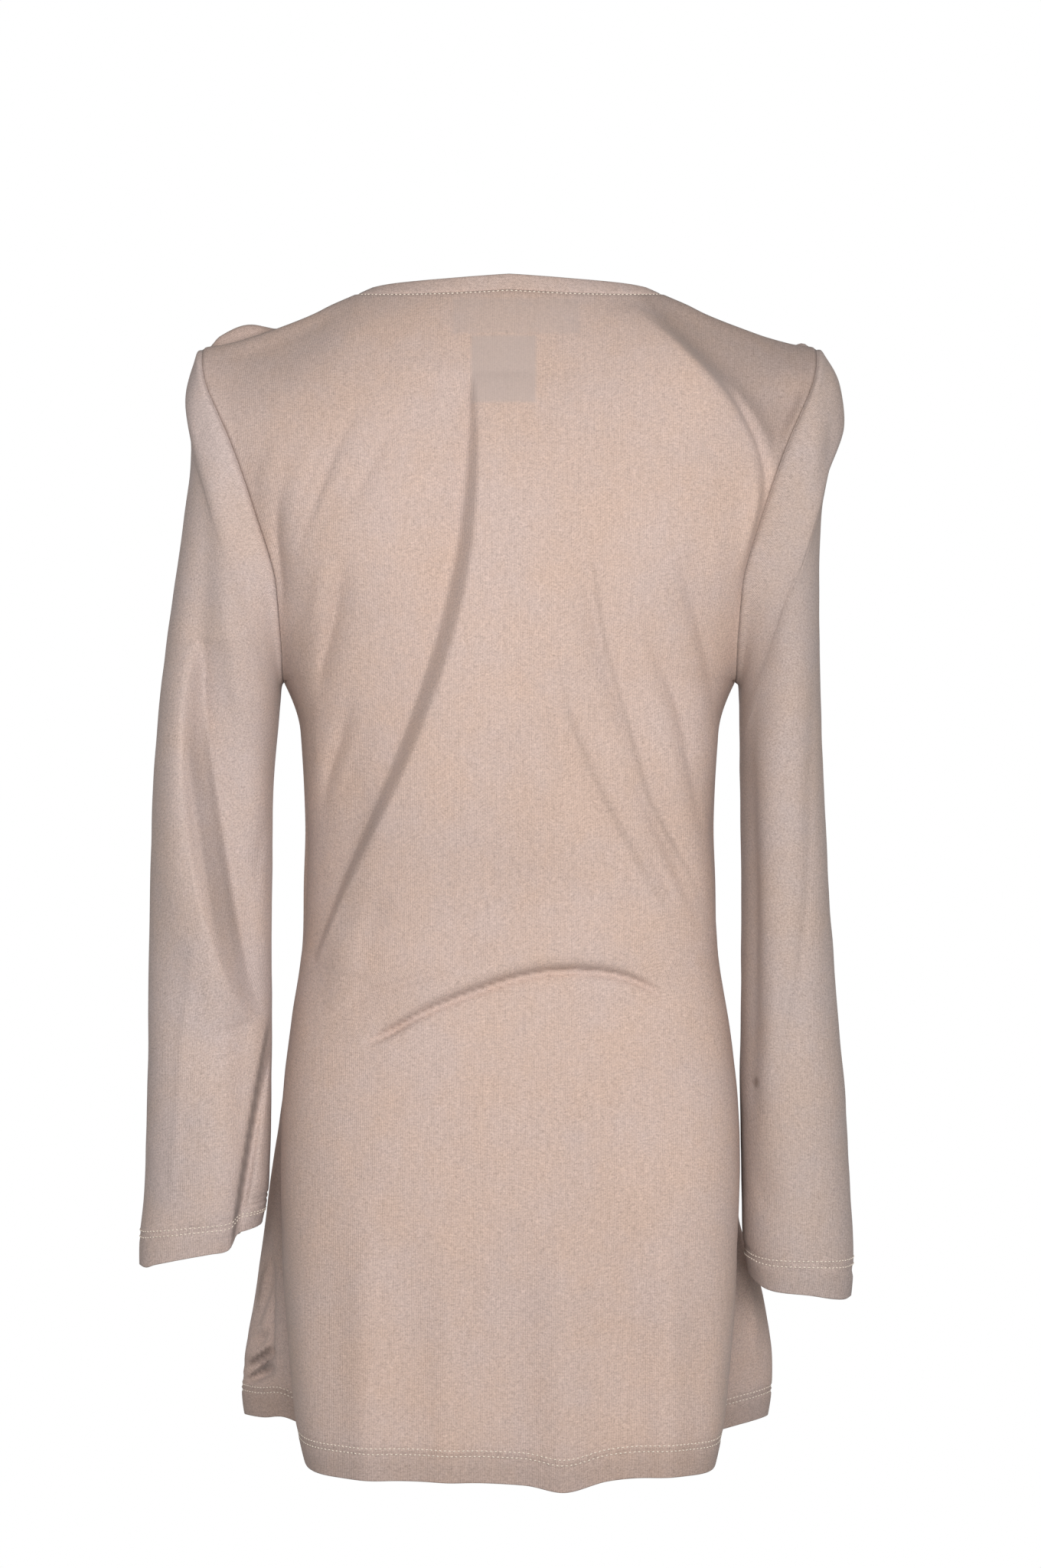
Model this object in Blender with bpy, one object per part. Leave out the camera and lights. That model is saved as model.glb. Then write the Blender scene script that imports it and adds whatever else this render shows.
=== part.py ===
# A fine-knit tunic blouse, worn form, hollow: back, front, two long sleeves, neck band and two blank labels.
# Frame: +Z up, the front faces -Y and the back +Y. The origin lies midway between the two neck ends of the
# shoulder seams, where the wearer's shoulders carry the blouse.
# Every length in the tables and functions is in millimetres. The meshes are made in metres.

import math

import bmesh
import bpy
import numpy as np
from mathutils import Vector
from mathutils.bvhtree import BVHTree

MM = 0.001

# Cloth and sewing
WALL = 1.2
HEM_WALL = 2.0
BAND_WALL = 1.8
LABEL_WALL = 1.0
HEM_DEPTH = 20.0
SEAM_SETBACK = 0.17
LABEL_GAP = 0.8
MOST_MITRE = 2.2

# Body
ARMPIT_HEIGHT = -258.0
ARMPIT_LIP = 8.0
ARMPIT_LIP_DROP = 34.0
ARMPIT_LIP_SHARE = 0.3
HEM_LEVEL = -750.0
FRONT_SQUARENESS = 2.4
FLARE_PEAK_DEGREES = 20.0
NECK_SHARE = 0.5
SHOULDER_HALF = 199.5
SHOULDER_HEIGHT = -43.0
SHOULDER_TIP_DEPTH = 4.0
SHOULDER_NECK_DEPTH = 8.0
NECK_SEAM_HALF = SHOULDER_HALF * NECK_SHARE
NECK_BACK_HEIGHT = -8.5
NECK_BACK_DIP = 2.0
NECK_ARCH = 21.5
ARMHOLE_SPREAD = 0.4
BACK_ROUNDING = (3.2, 0.5)
FRONT_ROUNDING = (2.3, 0.6)
NECK_FRONT_HEIGHT = -109.0
NECK_ROUNDING = 0.6
SHOULDER_BLADE_RISE = 0.035
SHOULDER_BLADE_SHARE = 0.6
ARMHOLE_BACK = 50.0
ARMHOLE_FRONT = -54.0
ARMHOLE_FRONT_SCOOP = 6.0

# Neck band: its width, and how far it leans in towards the neck at back, side and front
BAND_WIDTH = 11.0
BAND_LEAN_BACK = 0.22
BAND_LEAN_SIDE = 0.74
BAND_LEAN_FRONT = 0.35

# Labels inside the back of the neck, both blank: left edge, right edge, top and bottom
MAIN_LABEL = (-45.0, 36.0, -15.0, -39.0)
SIZE_TAG = (-17.0, 24.0, -40.5, -85.0)

# Mesh steps
NECK_COLUMNS = 14
SHOULDER_COLUMNS = 7
ARMHOLE_TURNS = (0.08, 0.165, 0.25, 0.335, 0.42, 0.5, 0.58, 0.665, 0.75, 0.835, 0.905, 0.96, 1.0)
SECTION_SAMPLES = 400

# Sections of the body from the armpits down:
# height, half width, back depth, front depth, squareness of the back, side seam depth, flare on +X, flare on -X
SECTIONS = (
    (-258.0, 139.0, 90.0, -118.0, 2.3, 0.0, 0.0, 0.0),
    (-290.0, 135.0, 88.0, -117.6, 2.3, 0.0, 0.0, 0.0),
    (-350.0, 132.0, 82.0, -109.0, 2.3, 0.0, 0.0, 0.0),
    (-390.0, 133.0, 75.0, -101.0, 2.3, 0.0, 0.0, 0.0),
    (-435.0, 134.0, 71.0, -96.0, 2.4, 0.0, 0.0, 0.0),
    (-480.0, 140.5, 79.0, -97.0, 2.5, 1.0, 0.0, 0.0),
    (-530.0, 146.0, 94.0, -102.0, 2.6, 3.0, 3.0, 0.0),
    (-570.0, 147.0, 101.0, -106.0, 2.8, 6.0, 10.0, 0.0),
    (-610.0, 145.5, 104.0, -110.0, 3.1, 9.0, 18.0, 6.0),
    (-650.0, 143.5, 106.0, -113.0, 3.5, 12.0, 27.0, 24.0),
    (-690.0, 140.0, 108.0, -115.0, 3.9, 15.0, 38.0, 37.0),
    (-725.0, 136.0, 110.0, -117.0, 4.3, 17.0, 47.0, 43.0),
    (-765.0, 131.5, 111.0, -118.0, 4.6, 18.0, 51.0, 46.0),
)

# Shoulder seam: distance from the middle, height
SHOULDER_SEAM = (
    (99.75, -8.5),
    (115.0, -15.0),
    (126.0, -20.5),
    (138.0, -25.5),
    (153.0, -31.0),
    (168.0, -36.0),
    (183.0, -40.0),
    (199.5, -43.0),
)

# Armhole seam seen from the back: height, distance from the middle
ARMHOLE = (
    (-258.0, 147.0),
    (-230.0, 147.2),
    (-206.0, 148.3),
    (-192.0, 150.0),
    (-175.0, 154.8),
    (-155.0, 161.5),
    (-134.0, 168.5),
    (-116.0, 175.0),
    (-100.0, 181.5),
    (-88.0, 187.0),
    (-71.0, 194.5),
    (-58.0, 198.0),
    (-43.0, 199.5),
)

# Lower edge of a panel: place across it (-1 and 1 are the side seams), height
HEM_BACK = (
    (-1.0, -744.0),
    (-0.78, -747.0),
    (-0.68, -753.0),
    (-0.6, -756.0),
    (-0.45, -756.0),
    (-0.3, -758.5),
    (-0.17, -764.5),
    (-0.05, -761.0),
    (0.2, -759.0),
    (0.43, -757.5),
    (0.62, -754.0),
    (0.72, -748.5),
    (1.0, -741.0),
)
HEM_FRONT = (
    (-1.0, -744.0),
    (-0.8, -745.0),
    (-0.55, -748.0),
    (0.0, -752.0),
    (0.55, -748.0),
    (0.8, -739.0),
    (1.0, -741.0),
)

# Sleeves: place along it, outer edge x and z, inner edge x and z, half depth, middle depth
SLEEVE_LEFT = (
    (0.00, 199.5, -43.0, 147.0, -258.0, 52.0, 0.0),
    (0.02, 205.0, -47.0, 150.5, -261.0, 54.0, 0.0),
    (0.06, 210.0, -72.0, 151.5, -272.0, 55.0, 1.0),
    (0.12, 205.0, -108.0, 152.5, -287.0, 53.0, 2.0),
    (0.20, 209.5, -152.0, 154.0, -309.0, 49.0, 4.0),
    (0.32, 219.5, -222.0, 155.5, -344.0, 46.0, 6.0),
    (0.46, 227.5, -305.0, 156.0, -398.0, 44.0, 9.0),
    (0.62, 231.5, -402.0, 155.5, -465.0, 42.0, 12.0),
    (0.80, 232.5, -512.0, 156.0, -540.0, 40.0, 15.0),
    (0.92, 235.0, -590.0, 157.0, -588.0, 38.0, 17.0),
    (1.00, 240.0, -636.0, 158.5, -616.0, 37.0, 18.0),
)
SLEEVE_RIGHT = (
    (0.00, 199.5, -43.0, 147.0, -258.0, 52.0, 0.0),
    (0.02, 205.5, -45.5, 151.5, -261.0, 54.0, 0.0),
    (0.06, 215.5, -66.0, 152.0, -271.0, 56.0, 1.0),
    (0.10, 216.0, -94.0, 152.0, -281.0, 56.0, 2.0),
    (0.14, 206.5, -119.0, 152.0, -291.0, 55.0, 3.0),
    (0.20, 200.5, -153.0, 152.0, -308.0, 54.0, 5.0),
    (0.32, 199.5, -224.0, 152.0, -343.0, 54.0, 8.0),
    (0.46, 203.0, -307.0, 152.0, -400.0, 52.0, 12.0),
    (0.62, 208.0, -405.0, 151.5, -470.0, 49.0, 16.0),
    (0.80, 217.5, -524.0, 151.0, -553.0, 45.0, 21.0),
    (0.92, 221.5, -604.0, 152.0, -610.0, 42.0, 24.0),
    (1.00, 223.5, -659.0, 153.0, -645.0, 41.0, 26.0),
)
SLEEVE_ROWS = (
    0.0, 0.02, 0.045, 0.08, 0.12, 0.16, 0.21, 0.27, 0.34,
    0.42, 0.5, 0.58, 0.66, 0.74, 0.82, 0.9, 0.958, 1.0,
)
SEAM_HOLD = 0.14
SLEEVE_MIDDLE = 190.0

# Long dents in a sleeve: start and end along it, middle angle in degrees (0 outer, 90 back, 180 inner),
# drift of that angle down the dent, spread in degrees, depth
DENTS_LEFT = (
    (0.45, 1.15, 128.0, 6.0, 20.0, 13.0),
    (0.10, 0.62, 62.0, 14.0, 16.0, 5.0),
)
DENTS_RIGHT = (
    (0.16, 0.84, 138.0, -8.0, 15.0, 6.0),
    (0.02, 0.16, 40.0, 10.0, 20.0, 4.0),
)

# Large folds of the back: depth, width on the +X side, width on the -X side, and the points x, z of its line
FOLDS = (
    (4.5, 7.0, 13.0, ((25.0, -100.0), (29.0, -178.0), (49.0, -262.0), (78.0, -341.0), (122.0, -414.0))),
    (2.5, 12.0, 9.0, ((-57.0, -170.0), (-84.0, -280.0), (-116.0, -412.0))),
    (3.5, 10.0, 10.0, ((120.0, -190.0), (116.0, -300.0))),
    (3.0, 9.0, 9.0, ((78.0, -480.0), (42.0, -457.0), (-14.0, -443.0), (-52.0, -440.0), (-95.0, -462.0))),
)
FOLD_END_TAPER = 30.0

# Soft flutes of the skirt: distance from the middle, half width, rise, height where it starts
FLUTES_BACK = (
    (88.0, 17.0, 2.5, -600.0),
    (38.0, 16.0, 1.5, -620.0),
    (-34.0, 24.0, 3.0, -600.0),
    (-98.0, 15.0, 2.5, -610.0),
)
FLUTES_FRONT = (
    (96.0, 20.0, -4.0, -560.0),
    (30.0, 22.0, -4.0, -580.0),
    (-40.0, 22.0, -4.0, -570.0),
    (-100.0, 20.0, -4.0, -560.0),
)
FLUTE_RAMP = 120.0

# Gathers where the front's cloth rises above the shoulder seam:
# place across, half width, place up, half height, rise
PUFFS = (
    (0.90, 0.10, 0.93, 0.06, 14.0),
    (0.68, 0.08, 0.95, 0.05, 9.0),
    (-0.94, 0.06, 0.95, 0.05, 6.0),
)


def smooth(rows, column, place):
    # A smooth curve through one column of a table. Column 0 holds the places, rising or falling.
    if rows[0][0] > rows[-1][0]:
        rows = rows[::-1]
    place = min(max(place, rows[0][0]), rows[-1][0])
    last = len(rows) - 1
    i = 0
    while i < last - 1 and place > rows[i + 1][0]:
        i += 1

    def slope(k):
        before = rows[max(k - 1, 0)]
        after = rows[min(k + 1, last)]
        return (after[column] - before[column]) / (after[0] - before[0])

    span = rows[i + 1][0] - rows[i][0]
    s = (place - rows[i][0]) / span
    rise = s * s * (3 - 2 * s)
    return (
        rows[i][column] * (1 - rise)
        + rows[i + 1][column] * rise
        + slope(i) * span * s * (1 - s) ** 2
        - slope(i + 1) * span * s * s * (1 - s)
    )


def ease(s):
    s = min(max(s, 0.0), 1.0)
    return s * s * (3 - 2 * s)


def quarter(across, half_width, depth, seam_depth, square, flare):
    # A point of half a panel's section, by its share of the arc from the middle (0) to the side seam (1).
    step = np.linspace(0.0, 1.0, SECTION_SAMPLES)
    angle = math.pi / 2 * step * step * (3 - 2 * step)
    power = 2 / square
    from_seam = math.pi / 2 - angle
    peak = math.radians(FLARE_PEAK_DEGREES)
    bump = from_seam / peak * np.exp(1 - from_seam / peak) * np.sin(angle)
    x = half_width * np.sin(angle) ** power + flare * bump
    y = seam_depth + (depth - seam_depth) * np.cos(angle) ** power
    length = np.concatenate([[0.0], np.cumsum(np.hypot(np.diff(x), np.diff(y)))])
    at = across * length[-1]
    return float(np.interp(at, length, x)), float(np.interp(at, length, y))


def line_fold(x, z, depth, plus_width, minus_width, points):
    # How far a fold's line pulls the cloth in at x, z: a soft trough that tapers off at its two ends.
    nearest = None
    run = 0.0
    total = sum(math.dist(a, b) for a, b in zip(points, points[1:]))
    for (ax, az), (bx, bz) in zip(points, points[1:]):
        length = math.hypot(bx - ax, bz - az)
        share = ((x - ax) * (bx - ax) + (z - az) * (bz - az)) / length**2
        share = min(max(share, 0.0), 1.0)
        dx = x - ax - share * (bx - ax)
        dz = z - az - share * (bz - az)
        away = math.hypot(dx, dz)
        if nearest is None or away < nearest[0]:
            nearest = (away, dx, run + share * length)
        run += length
    away, dx, place = nearest
    width = plus_width if dx > 0 else minus_width
    taper = ease(place / FOLD_END_TAPER) * ease((total - place) / FOLD_END_TAPER)
    return depth * taper * math.exp(-((away / width) ** 2))


def flutes(table, x, z):
    return sum(
        rise * math.exp(-(((x - middle) / half) ** 2)) * ease((start - z) / FLUTE_RAMP)
        for middle, half, rise, start in table
    )


def below_armpit(across, rise, is_back):
    # rise runs from 0 at the hem to 1 at the armpit's level.
    hem = smooth(HEM_BACK if is_back else HEM_FRONT, 1, across)
    z = hem + (ARMPIT_HEIGHT - hem) * rise
    half, back, front, square, seam, flare_plus, flare_minus = (smooth(SECTIONS, c, z) for c in range(1, 8))
    flare = 0.0 if is_back else (flare_plus if across > 0 else flare_minus)
    depth = back if is_back else front
    x, y = quarter(abs(across), half, depth, seam, square if is_back else FRONT_SQUARENESS, flare)
    drop = min((ARMPIT_HEIGHT - z) / ARMPIT_LIP_DROP, 1.0)
    x += ARMPIT_LIP * (1 - drop) ** 1.8 * abs(across) ** 6
    return math.copysign(x, across), y, z


def armhole_point(turn, is_back):
    # turn runs from 0 at the armpit to 1 at the shoulder's tip.
    middle = (SHOULDER_HEIGHT + ARMPIT_HEIGHT) / 2
    half = (SHOULDER_HEIGHT - ARMPIT_HEIGHT) / 2
    z = middle - half * math.cos(math.pi * turn)
    swing = math.sin(math.pi * turn)
    x = smooth(ARMHOLE, 1, z)
    y = (ARMHOLE_BACK if is_back else ARMHOLE_FRONT) * swing
    if not is_back:
        x -= ARMHOLE_FRONT_SCOOP * swing
    return x, y + SHOULDER_TIP_DEPTH * turn * turn, z


def shoulder_line(x):
    # Height of the shoulder seams, carried on in one smooth arch across the neck.
    if x >= NECK_SEAM_HALF:
        return smooth(SHOULDER_SEAM, 1, x)
    return SHOULDER_SEAM[0][1] + NECK_ARCH * (1 - (x / NECK_SEAM_HALF) ** 2)


def shoulder_depth(x):
    out = max((x - NECK_SEAM_HALF) / (SHOULDER_HALF - NECK_SEAM_HALF), 0.0)
    return SHOULDER_NECK_DEPTH + (SHOULDER_TIP_DEPTH - SHOULDER_NECK_DEPTH) * out


def top_height(share, is_back):
    # Height of a panel's top edge: its neckline in the middle, its shoulder seams outside.
    if share >= NECK_SHARE:
        return smooth(SHOULDER_SEAM, 1, SHOULDER_HALF * share)
    end = SHOULDER_SEAM[0][1]
    arch = math.cos(math.pi / 2 * share / NECK_SHARE)
    if is_back:
        return end + (NECK_BACK_HEIGHT - end) * arch - NECK_BACK_DIP * math.sin(math.pi * share / NECK_SHARE)
    return end + (NECK_FRONT_HEIGHT - end) * arch**NECK_ROUNDING


def over_shoulder(x, z, low_y, is_back):
    # Depth of the cloth between the armpits' level, where it is low_y, and the shoulder line.
    up = (z - ARMPIT_HEIGHT) / (shoulder_line(x) - ARMPIT_HEIGHT)
    up = min(max(up, 0.0), 1.0)
    rounding, fullness = BACK_ROUNDING if is_back else FRONT_ROUNDING
    if is_back:
        low_y *= 1 + SHOULDER_BLADE_RISE * math.sin(math.pi * min(up / SHOULDER_BLADE_SHARE, 1.0))
    seam = shoulder_depth(x)
    return seam + (low_y - seam) * (1 - up**rounding) ** fullness


def above_armpit(across, turn, is_back):
    # turn runs from 0 at the armpit's level to 1 at the top edge.
    share = abs(across)
    edge_x, edge_y, edge_z = armhole_point(turn, is_back)
    low_x, low_y, _ = below_armpit(share, 1.0, is_back)
    low_share = (low_x - ARMPIT_LIP * share**6) / smooth(SECTIONS, 1, ARMPIT_HEIGHT)
    swing = (1 - math.cos(math.pi * turn)) / 2
    z = ARMPIT_HEIGHT + (top_height(share, is_back) - ARMPIT_HEIGHT) * (turn + (swing - turn) * share**3)
    lip = ARMPIT_LIP * max(1 - turn / ARMPIT_LIP_SHARE, 0.0) ** 2
    x = (edge_x - lip) * (low_share + (share - low_share) * ease(turn)) + lip * share**6
    y = over_shoulder(x, z, low_y, is_back)
    spread = ease(turn / ARMHOLE_SPREAD)
    pull = share**2 * spread + share**10 * (1 - spread)
    y += (edge_y - over_shoulder(edge_x, edge_z, 0.0, is_back)) * pull
    if not is_back:
        for place, half_place, height, half_height, rise in PUFFS:
            lift = math.exp(-(((across - place) / half_place) ** 2) - ((turn - height) / half_height) ** 2)
            z += rise * lift * ease((1 - turn) / 0.04) * ease((1 - share) / 0.05)
    return math.copysign(x, across), y, z


def back_point(across, rise, turn):
    x, y, z = below_armpit(across, rise, True) if turn <= 0 else above_armpit(across, turn, True)
    inside = ease((1 - abs(across)) / 0.2) * ease((1 - turn) / 0.15)
    y -= inside * sum(line_fold(x, z, *fold) for fold in FOLDS)
    y += ease((1 - abs(across)) / 0.2) * flutes(FLUTES_BACK, x, z)
    return Vector((x, y, z))


def front_point(across, rise, turn):
    x, y, z = below_armpit(across, rise, False) if turn <= 0 else above_armpit(across, turn, False)
    y += ease((1 - abs(across)) / 0.3) * flutes(FLUTES_FRONT, x, z)
    return Vector((x, y, z))


def sleeve_point(table, dents, along, angle):
    # angle runs from 0 at the shoulder's tip over the back (90) to the armpit (180) and back over the front.
    ox, oz, ix, iz, half_depth, middle = (smooth(table, c, along) for c in range(1, 7))
    outward = math.cos(angle)
    backward = math.sin(angle)
    share = (1 + outward) / 2
    x = ix + (ox - ix) * share
    z = iz + (oz - iz) * share
    y = middle + half_depth * backward
    hold = max(1 - along / SEAM_HOLD, 0.0) ** 2
    if hold > 0:
        turn = 1 - angle / math.pi if angle <= math.pi else angle / math.pi - 1
        seam_x, seam_y, seam_z = armhole_point(turn, angle <= math.pi)
        first = table[0]
        seam_x += (ox - first[1]) * share + (ix - first[3]) * (1 - share)
        seam_z += (oz - first[2]) * share + (iz - first[4]) * (1 - share)
        x += (seam_x - x) * hold
        y += (seam_y * (half_depth / first[5]) - y) * hold
        z += (seam_z - z) * hold
    pull = 0.0
    for start, end, at, drift, spread, depth in dents:
        run = (along - start) / (end - start)
        if 0 < run < 1:
            away = (math.degrees(angle) - at - drift * run) / spread
            pull += depth * math.sin(math.pi * run) ** 0.7 * math.exp(-(away * away))
    x -= pull * outward
    y -= pull * backward
    return Vector((x, y, z))


def sleeve_side(side):
    table, dents = (SLEEVE_LEFT, DENTS_LEFT) if side > 0 else (SLEEVE_RIGHT, DENTS_RIGHT)
    over_back = [math.pi * (1 - turn) for turn in reversed((0.0, *ARMHOLE_TURNS))]
    angles = over_back + [2 * math.pi - angle for angle in reversed(over_back[:-1])]

    def at(row, column):
        point = sleeve_point(table, dents, SLEEVE_ROWS[row], angles[column % (len(angles) - 1)])
        point.x *= side
        return point

    return at


def column_place(column):
    # Where a column of a panel's mesh lies across it: closer together towards the neck's two ends.
    offset = column - SHOULDER_COLUMNS - NECK_COLUMNS / 2
    half_neck = NECK_COLUMNS / 2
    if abs(offset) <= half_neck:
        return NECK_SHARE * math.sin(math.pi / 2 * offset / half_neck)
    out = NECK_SHARE + (1 - NECK_SHARE) * (abs(offset) - half_neck) / SHOULDER_COLUMNS
    return math.copysign(out, offset)


def band_edge(column):
    # A point of the neck seam, once round it, and the way that the band stands up from it.
    is_back = column <= NECK_COLUMNS
    across = column_place(SHOULDER_COLUMNS + (column if is_back else 2 * NECK_COLUMNS - column))
    seam = (back_point if is_back else front_point)(across, 1.0, 1.0)
    arch = math.cos(math.pi / 2 * abs(across) / NECK_SHARE)
    lean = BAND_LEAN_SIDE + ((BAND_LEAN_BACK if is_back else BAND_LEAN_FRONT) - BAND_LEAN_SIDE) * arch
    inward = Vector((-across / NECK_SHARE * (1 - arch) ** 0.5, (-1 if is_back else 1) * arch, 0.0))
    if inward.length > 0:
        inward.normalize()
    return seam, inward * lean + Vector((0.0, 0.0, math.sqrt(1 - lean * lean)))


def sheet(rows, columns, at, round_closed):
    # An open sheet of cloth: a grid laid over a function that gives each point.
    made = bmesh.new()
    bmesh.ops.create_grid(made, x_segments=columns, y_segments=rows, size=1.0)
    made.verts.ensure_lookup_table()
    place = {}
    for vert in made.verts:
        column = round((vert.co.x + 1) / 2 * columns)
        row = round((vert.co.y + 1) / 2 * rows)
        place[vert.index] = (row, column)
    for vert in made.verts:
        vert.co = at(*place[vert.index])
    if round_closed:
        bmesh.ops.remove_doubles(made, verts=made.verts, dist=1e-4)
    return made


def setbacks(made, seam_normals):
    # How far each sewn point steps back, within its own cloth, from the seams that meet there.
    ways = {}
    for edge in made.edges:
        sewn = all(seam_normals[key(vert.co)][1] > 1 for vert in edge.verts)
        if not (edge.is_boundary and sewn):
            continue
        face = edge.link_faces[0]
        line = edge.verts[1].co - edge.verts[0].co
        way = face.normal.cross(line).normalized()
        if way.dot(face.calc_center_median() - edge.verts[0].co) < 0:
            way.negate()
        for vert in edge.verts:
            ways.setdefault(vert, []).append(way)
    steps = {}
    for vert in made.verts:
        found = ways.get(vert, [])
        total = sum(found, Vector())
        if len(found) == 2:
            total /= max(1 + found[0].dot(found[1]), 0.3)
        steps[vert] = total * SEAM_SETBACK
    return steps


def key(point):
    return tuple(round(c, 2) for c in point)


def panel_rows():
    # Each row of a body panel as (rise to the armpit, turn above it).
    length = ARMPIT_HEIGHT - HEM_LEVEL
    below = [0.0, HEM_DEPTH / length, (HEM_DEPTH + 16) / length]
    below += [0.11 + 0.08 * i for i in range(10)]
    below += [0.89, 0.93, 0.958, 0.98, 0.991, 1.0]
    rows = [(rise, 0.0) for rise in below]
    rows += [(1.0, turn) for turn in ARMHOLE_TURNS]
    return rows


def label_sheet(box, panel):
    # Points of a label, taken from the back's own facets and moved in.
    left, right, top, bottom = box
    columns, rows = 6, 3

    def at(row, column):
        x = left + (right - left) * column / columns
        z = bottom + (top - bottom) * row / rows
        place, normal, _, _ = panel.ray_cast(Vector((x, 0.0, z)), Vector((0.0, 1.0, 0.0)))
        if normal.y < 0:
            normal.negate()
        return place - normal * (WALL + LABEL_GAP)

    return rows, columns, at


def cloth_material(name, colour):
    made = bpy.data.materials.new(name)
    made.use_nodes = True
    shader = made.node_tree.nodes["Principled BSDF"]
    shader.inputs["Base Color"].default_value = (*colour, 1.0)
    shader.inputs["Roughness"].default_value = 0.85
    shader.inputs["Metallic"].default_value = 0.0
    return made


def build_wall(name, made, seam_normals, thickness, colour):
    # The cloth's wall: the sheet is copied inwards along its normals, and its edges are closed.
    inner = {}
    for vert in made.verts:
        total, count = seam_normals[key(vert.co)]
        mitre = min(count / max(total.length, 1e-6), MOST_MITRE)
        inner[vert] = -total.normalized() * mitre * thickness(vert.co)
    step = setbacks(made, seam_normals)
    bmesh.ops.triangulate(made, faces=made.faces)
    start = {vert: vert.co.copy() for vert in made.verts}
    by_place = {tuple(vert.co): vert for vert in made.verts}
    outer = list(made.verts)
    moved = bmesh.ops.extrude_face_region(made, geom=list(made.faces), use_keep_orig=True)
    copies = [item for item in moved["geom"] if isinstance(item, bmesh.types.BMVert)]
    for vert in copies:
        source = by_place[tuple(vert.co)]
        vert.co = start[source] + inner[source] + step[source]
    for vert in outer:
        vert.co = start[vert] + step[vert]
    for rim in [face for face in made.faces if len(face.verts) == 4]:
        first = min((vert for vert in rim.verts if vert in start), key=lambda vert: key(start[vert]))
        at = list(rim.verts).index(first)
        bmesh.utils.face_split(rim, first, rim.verts[(at + 2) % 4])
    bmesh.ops.recalc_face_normals(made, faces=made.faces)
    bmesh.ops.scale(made, vec=(MM, MM, MM), verts=made.verts)
    mesh = bpy.data.meshes.new(name)
    made.to_mesh(mesh)
    made.free()
    mesh.shade_smooth()
    mesh.set_sharp_from_angle(angle=math.radians(50))
    mesh.materials.append(cloth_material(name + "_cloth", colour))
    bpy.context.scene.collection.objects.link(bpy.data.objects.new(name, mesh))


def body_thickness(point):
    return HEM_WALL if point.z < HEM_LEVEL + HEM_DEPTH + 12 else WALL


def sleeve_thickness(side):
    table = SLEEVE_LEFT if side > 0 else SLEEVE_RIGHT
    cuff = [row for row in table if row[0] == 1.0][0]

    def thickness(point):
        share = (abs(point.x) - cuff[3]) / (cuff[1] - cuff[3])
        edge = cuff[4] + (cuff[2] - cuff[4]) * share
        return HEM_WALL if point.z < edge + HEM_DEPTH * 0.7 else WALL

    return thickness


def away_from_middle(name, point):
    # A rough outward direction for a piece, only used to see which way its faces look.
    if name.startswith("sleeve"):
        side = 1 if point.x > 0 else -1
        return Vector((point.x - side * SLEEVE_MIDDLE, point.y, 0.0))
    return Vector((point.x, point.y, 0.0))


def main():
    for old in list(bpy.data.objects):
        bpy.data.objects.remove(old, do_unlink=True)

    columns = NECK_COLUMNS + 2 * SHOULDER_COLUMNS
    rows = panel_rows()
    band_columns = 2 * NECK_COLUMNS

    def panel(point_of):
        return lambda row, column: point_of(column_place(column), *rows[row])

    def band(row, column):
        seam, way = band_edge(column % band_columns)
        return seam + way * BAND_WIDTH * row / 2

    sleeve_columns = 2 * len(ARMHOLE_TURNS)
    sleeve_rows = len(SLEEVE_ROWS) - 1
    taupe = (0.60, 0.46, 0.40)
    cream = (0.68, 0.60, 0.52)
    pieces = (
        ("back", len(rows) - 1, columns, panel(back_point), False, body_thickness, taupe),
        ("front", len(rows) - 1, columns, panel(front_point), False, body_thickness, taupe),
        ("sleeve_left", sleeve_rows, sleeve_columns, sleeve_side(1), True, sleeve_thickness(1), taupe),
        ("sleeve_right", sleeve_rows, sleeve_columns, sleeve_side(-1), True, sleeve_thickness(-1), taupe),
        ("neck_band", 2, band_columns, band, True, lambda point: BAND_WALL, taupe),
    )

    # The outer sheets come first, so that pieces share their normals along a seam.
    sheets = {}
    normals = {}
    for name, row_count, column_count, at, closed, _, _ in pieces:
        made = sheet(row_count, column_count, at, closed)
        made.normal_update()
        outward = sum(vert.normal.dot(away_from_middle(name, vert.co)) for vert in made.verts)
        if outward < 0:
            bmesh.ops.reverse_faces(made, faces=made.faces)
            made.normal_update()
        sheets[name] = made
        for vert in made.verts:
            total, count = normals.get(key(vert.co), (Vector(), 0))
            normals[key(vert.co)] = (total + vert.normal, count + 1)

    bmesh.ops.triangulate(sheets["back"], faces=sheets["back"].faces)
    panel_facets = BVHTree.FromBMesh(sheets["back"])
    for name, _, _, _, _, thickness, colour in pieces:
        build_wall(name, sheets[name], normals, thickness, colour)

    for name, box in (("neck_label", MAIN_LABEL), ("size_tag", SIZE_TAG)):
        row_count, column_count, at = label_sheet(box, panel_facets)
        made = sheet(row_count, column_count, at, False)
        made.normal_update()
        if sum(vert.normal.y for vert in made.verts) < 0:
            bmesh.ops.reverse_faces(made, faces=made.faces)
            made.normal_update()
        own = {key(vert.co): (vert.normal.copy(), 1) for vert in made.verts}
        build_wall(name, made, own, lambda point: LABEL_WALL, cream)


main()
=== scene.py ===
import math

import bmesh
import bpy
import numpy as np
from mathutils import Matrix, Vector, noise
from mathutils.bvhtree import BVHTree


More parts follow.
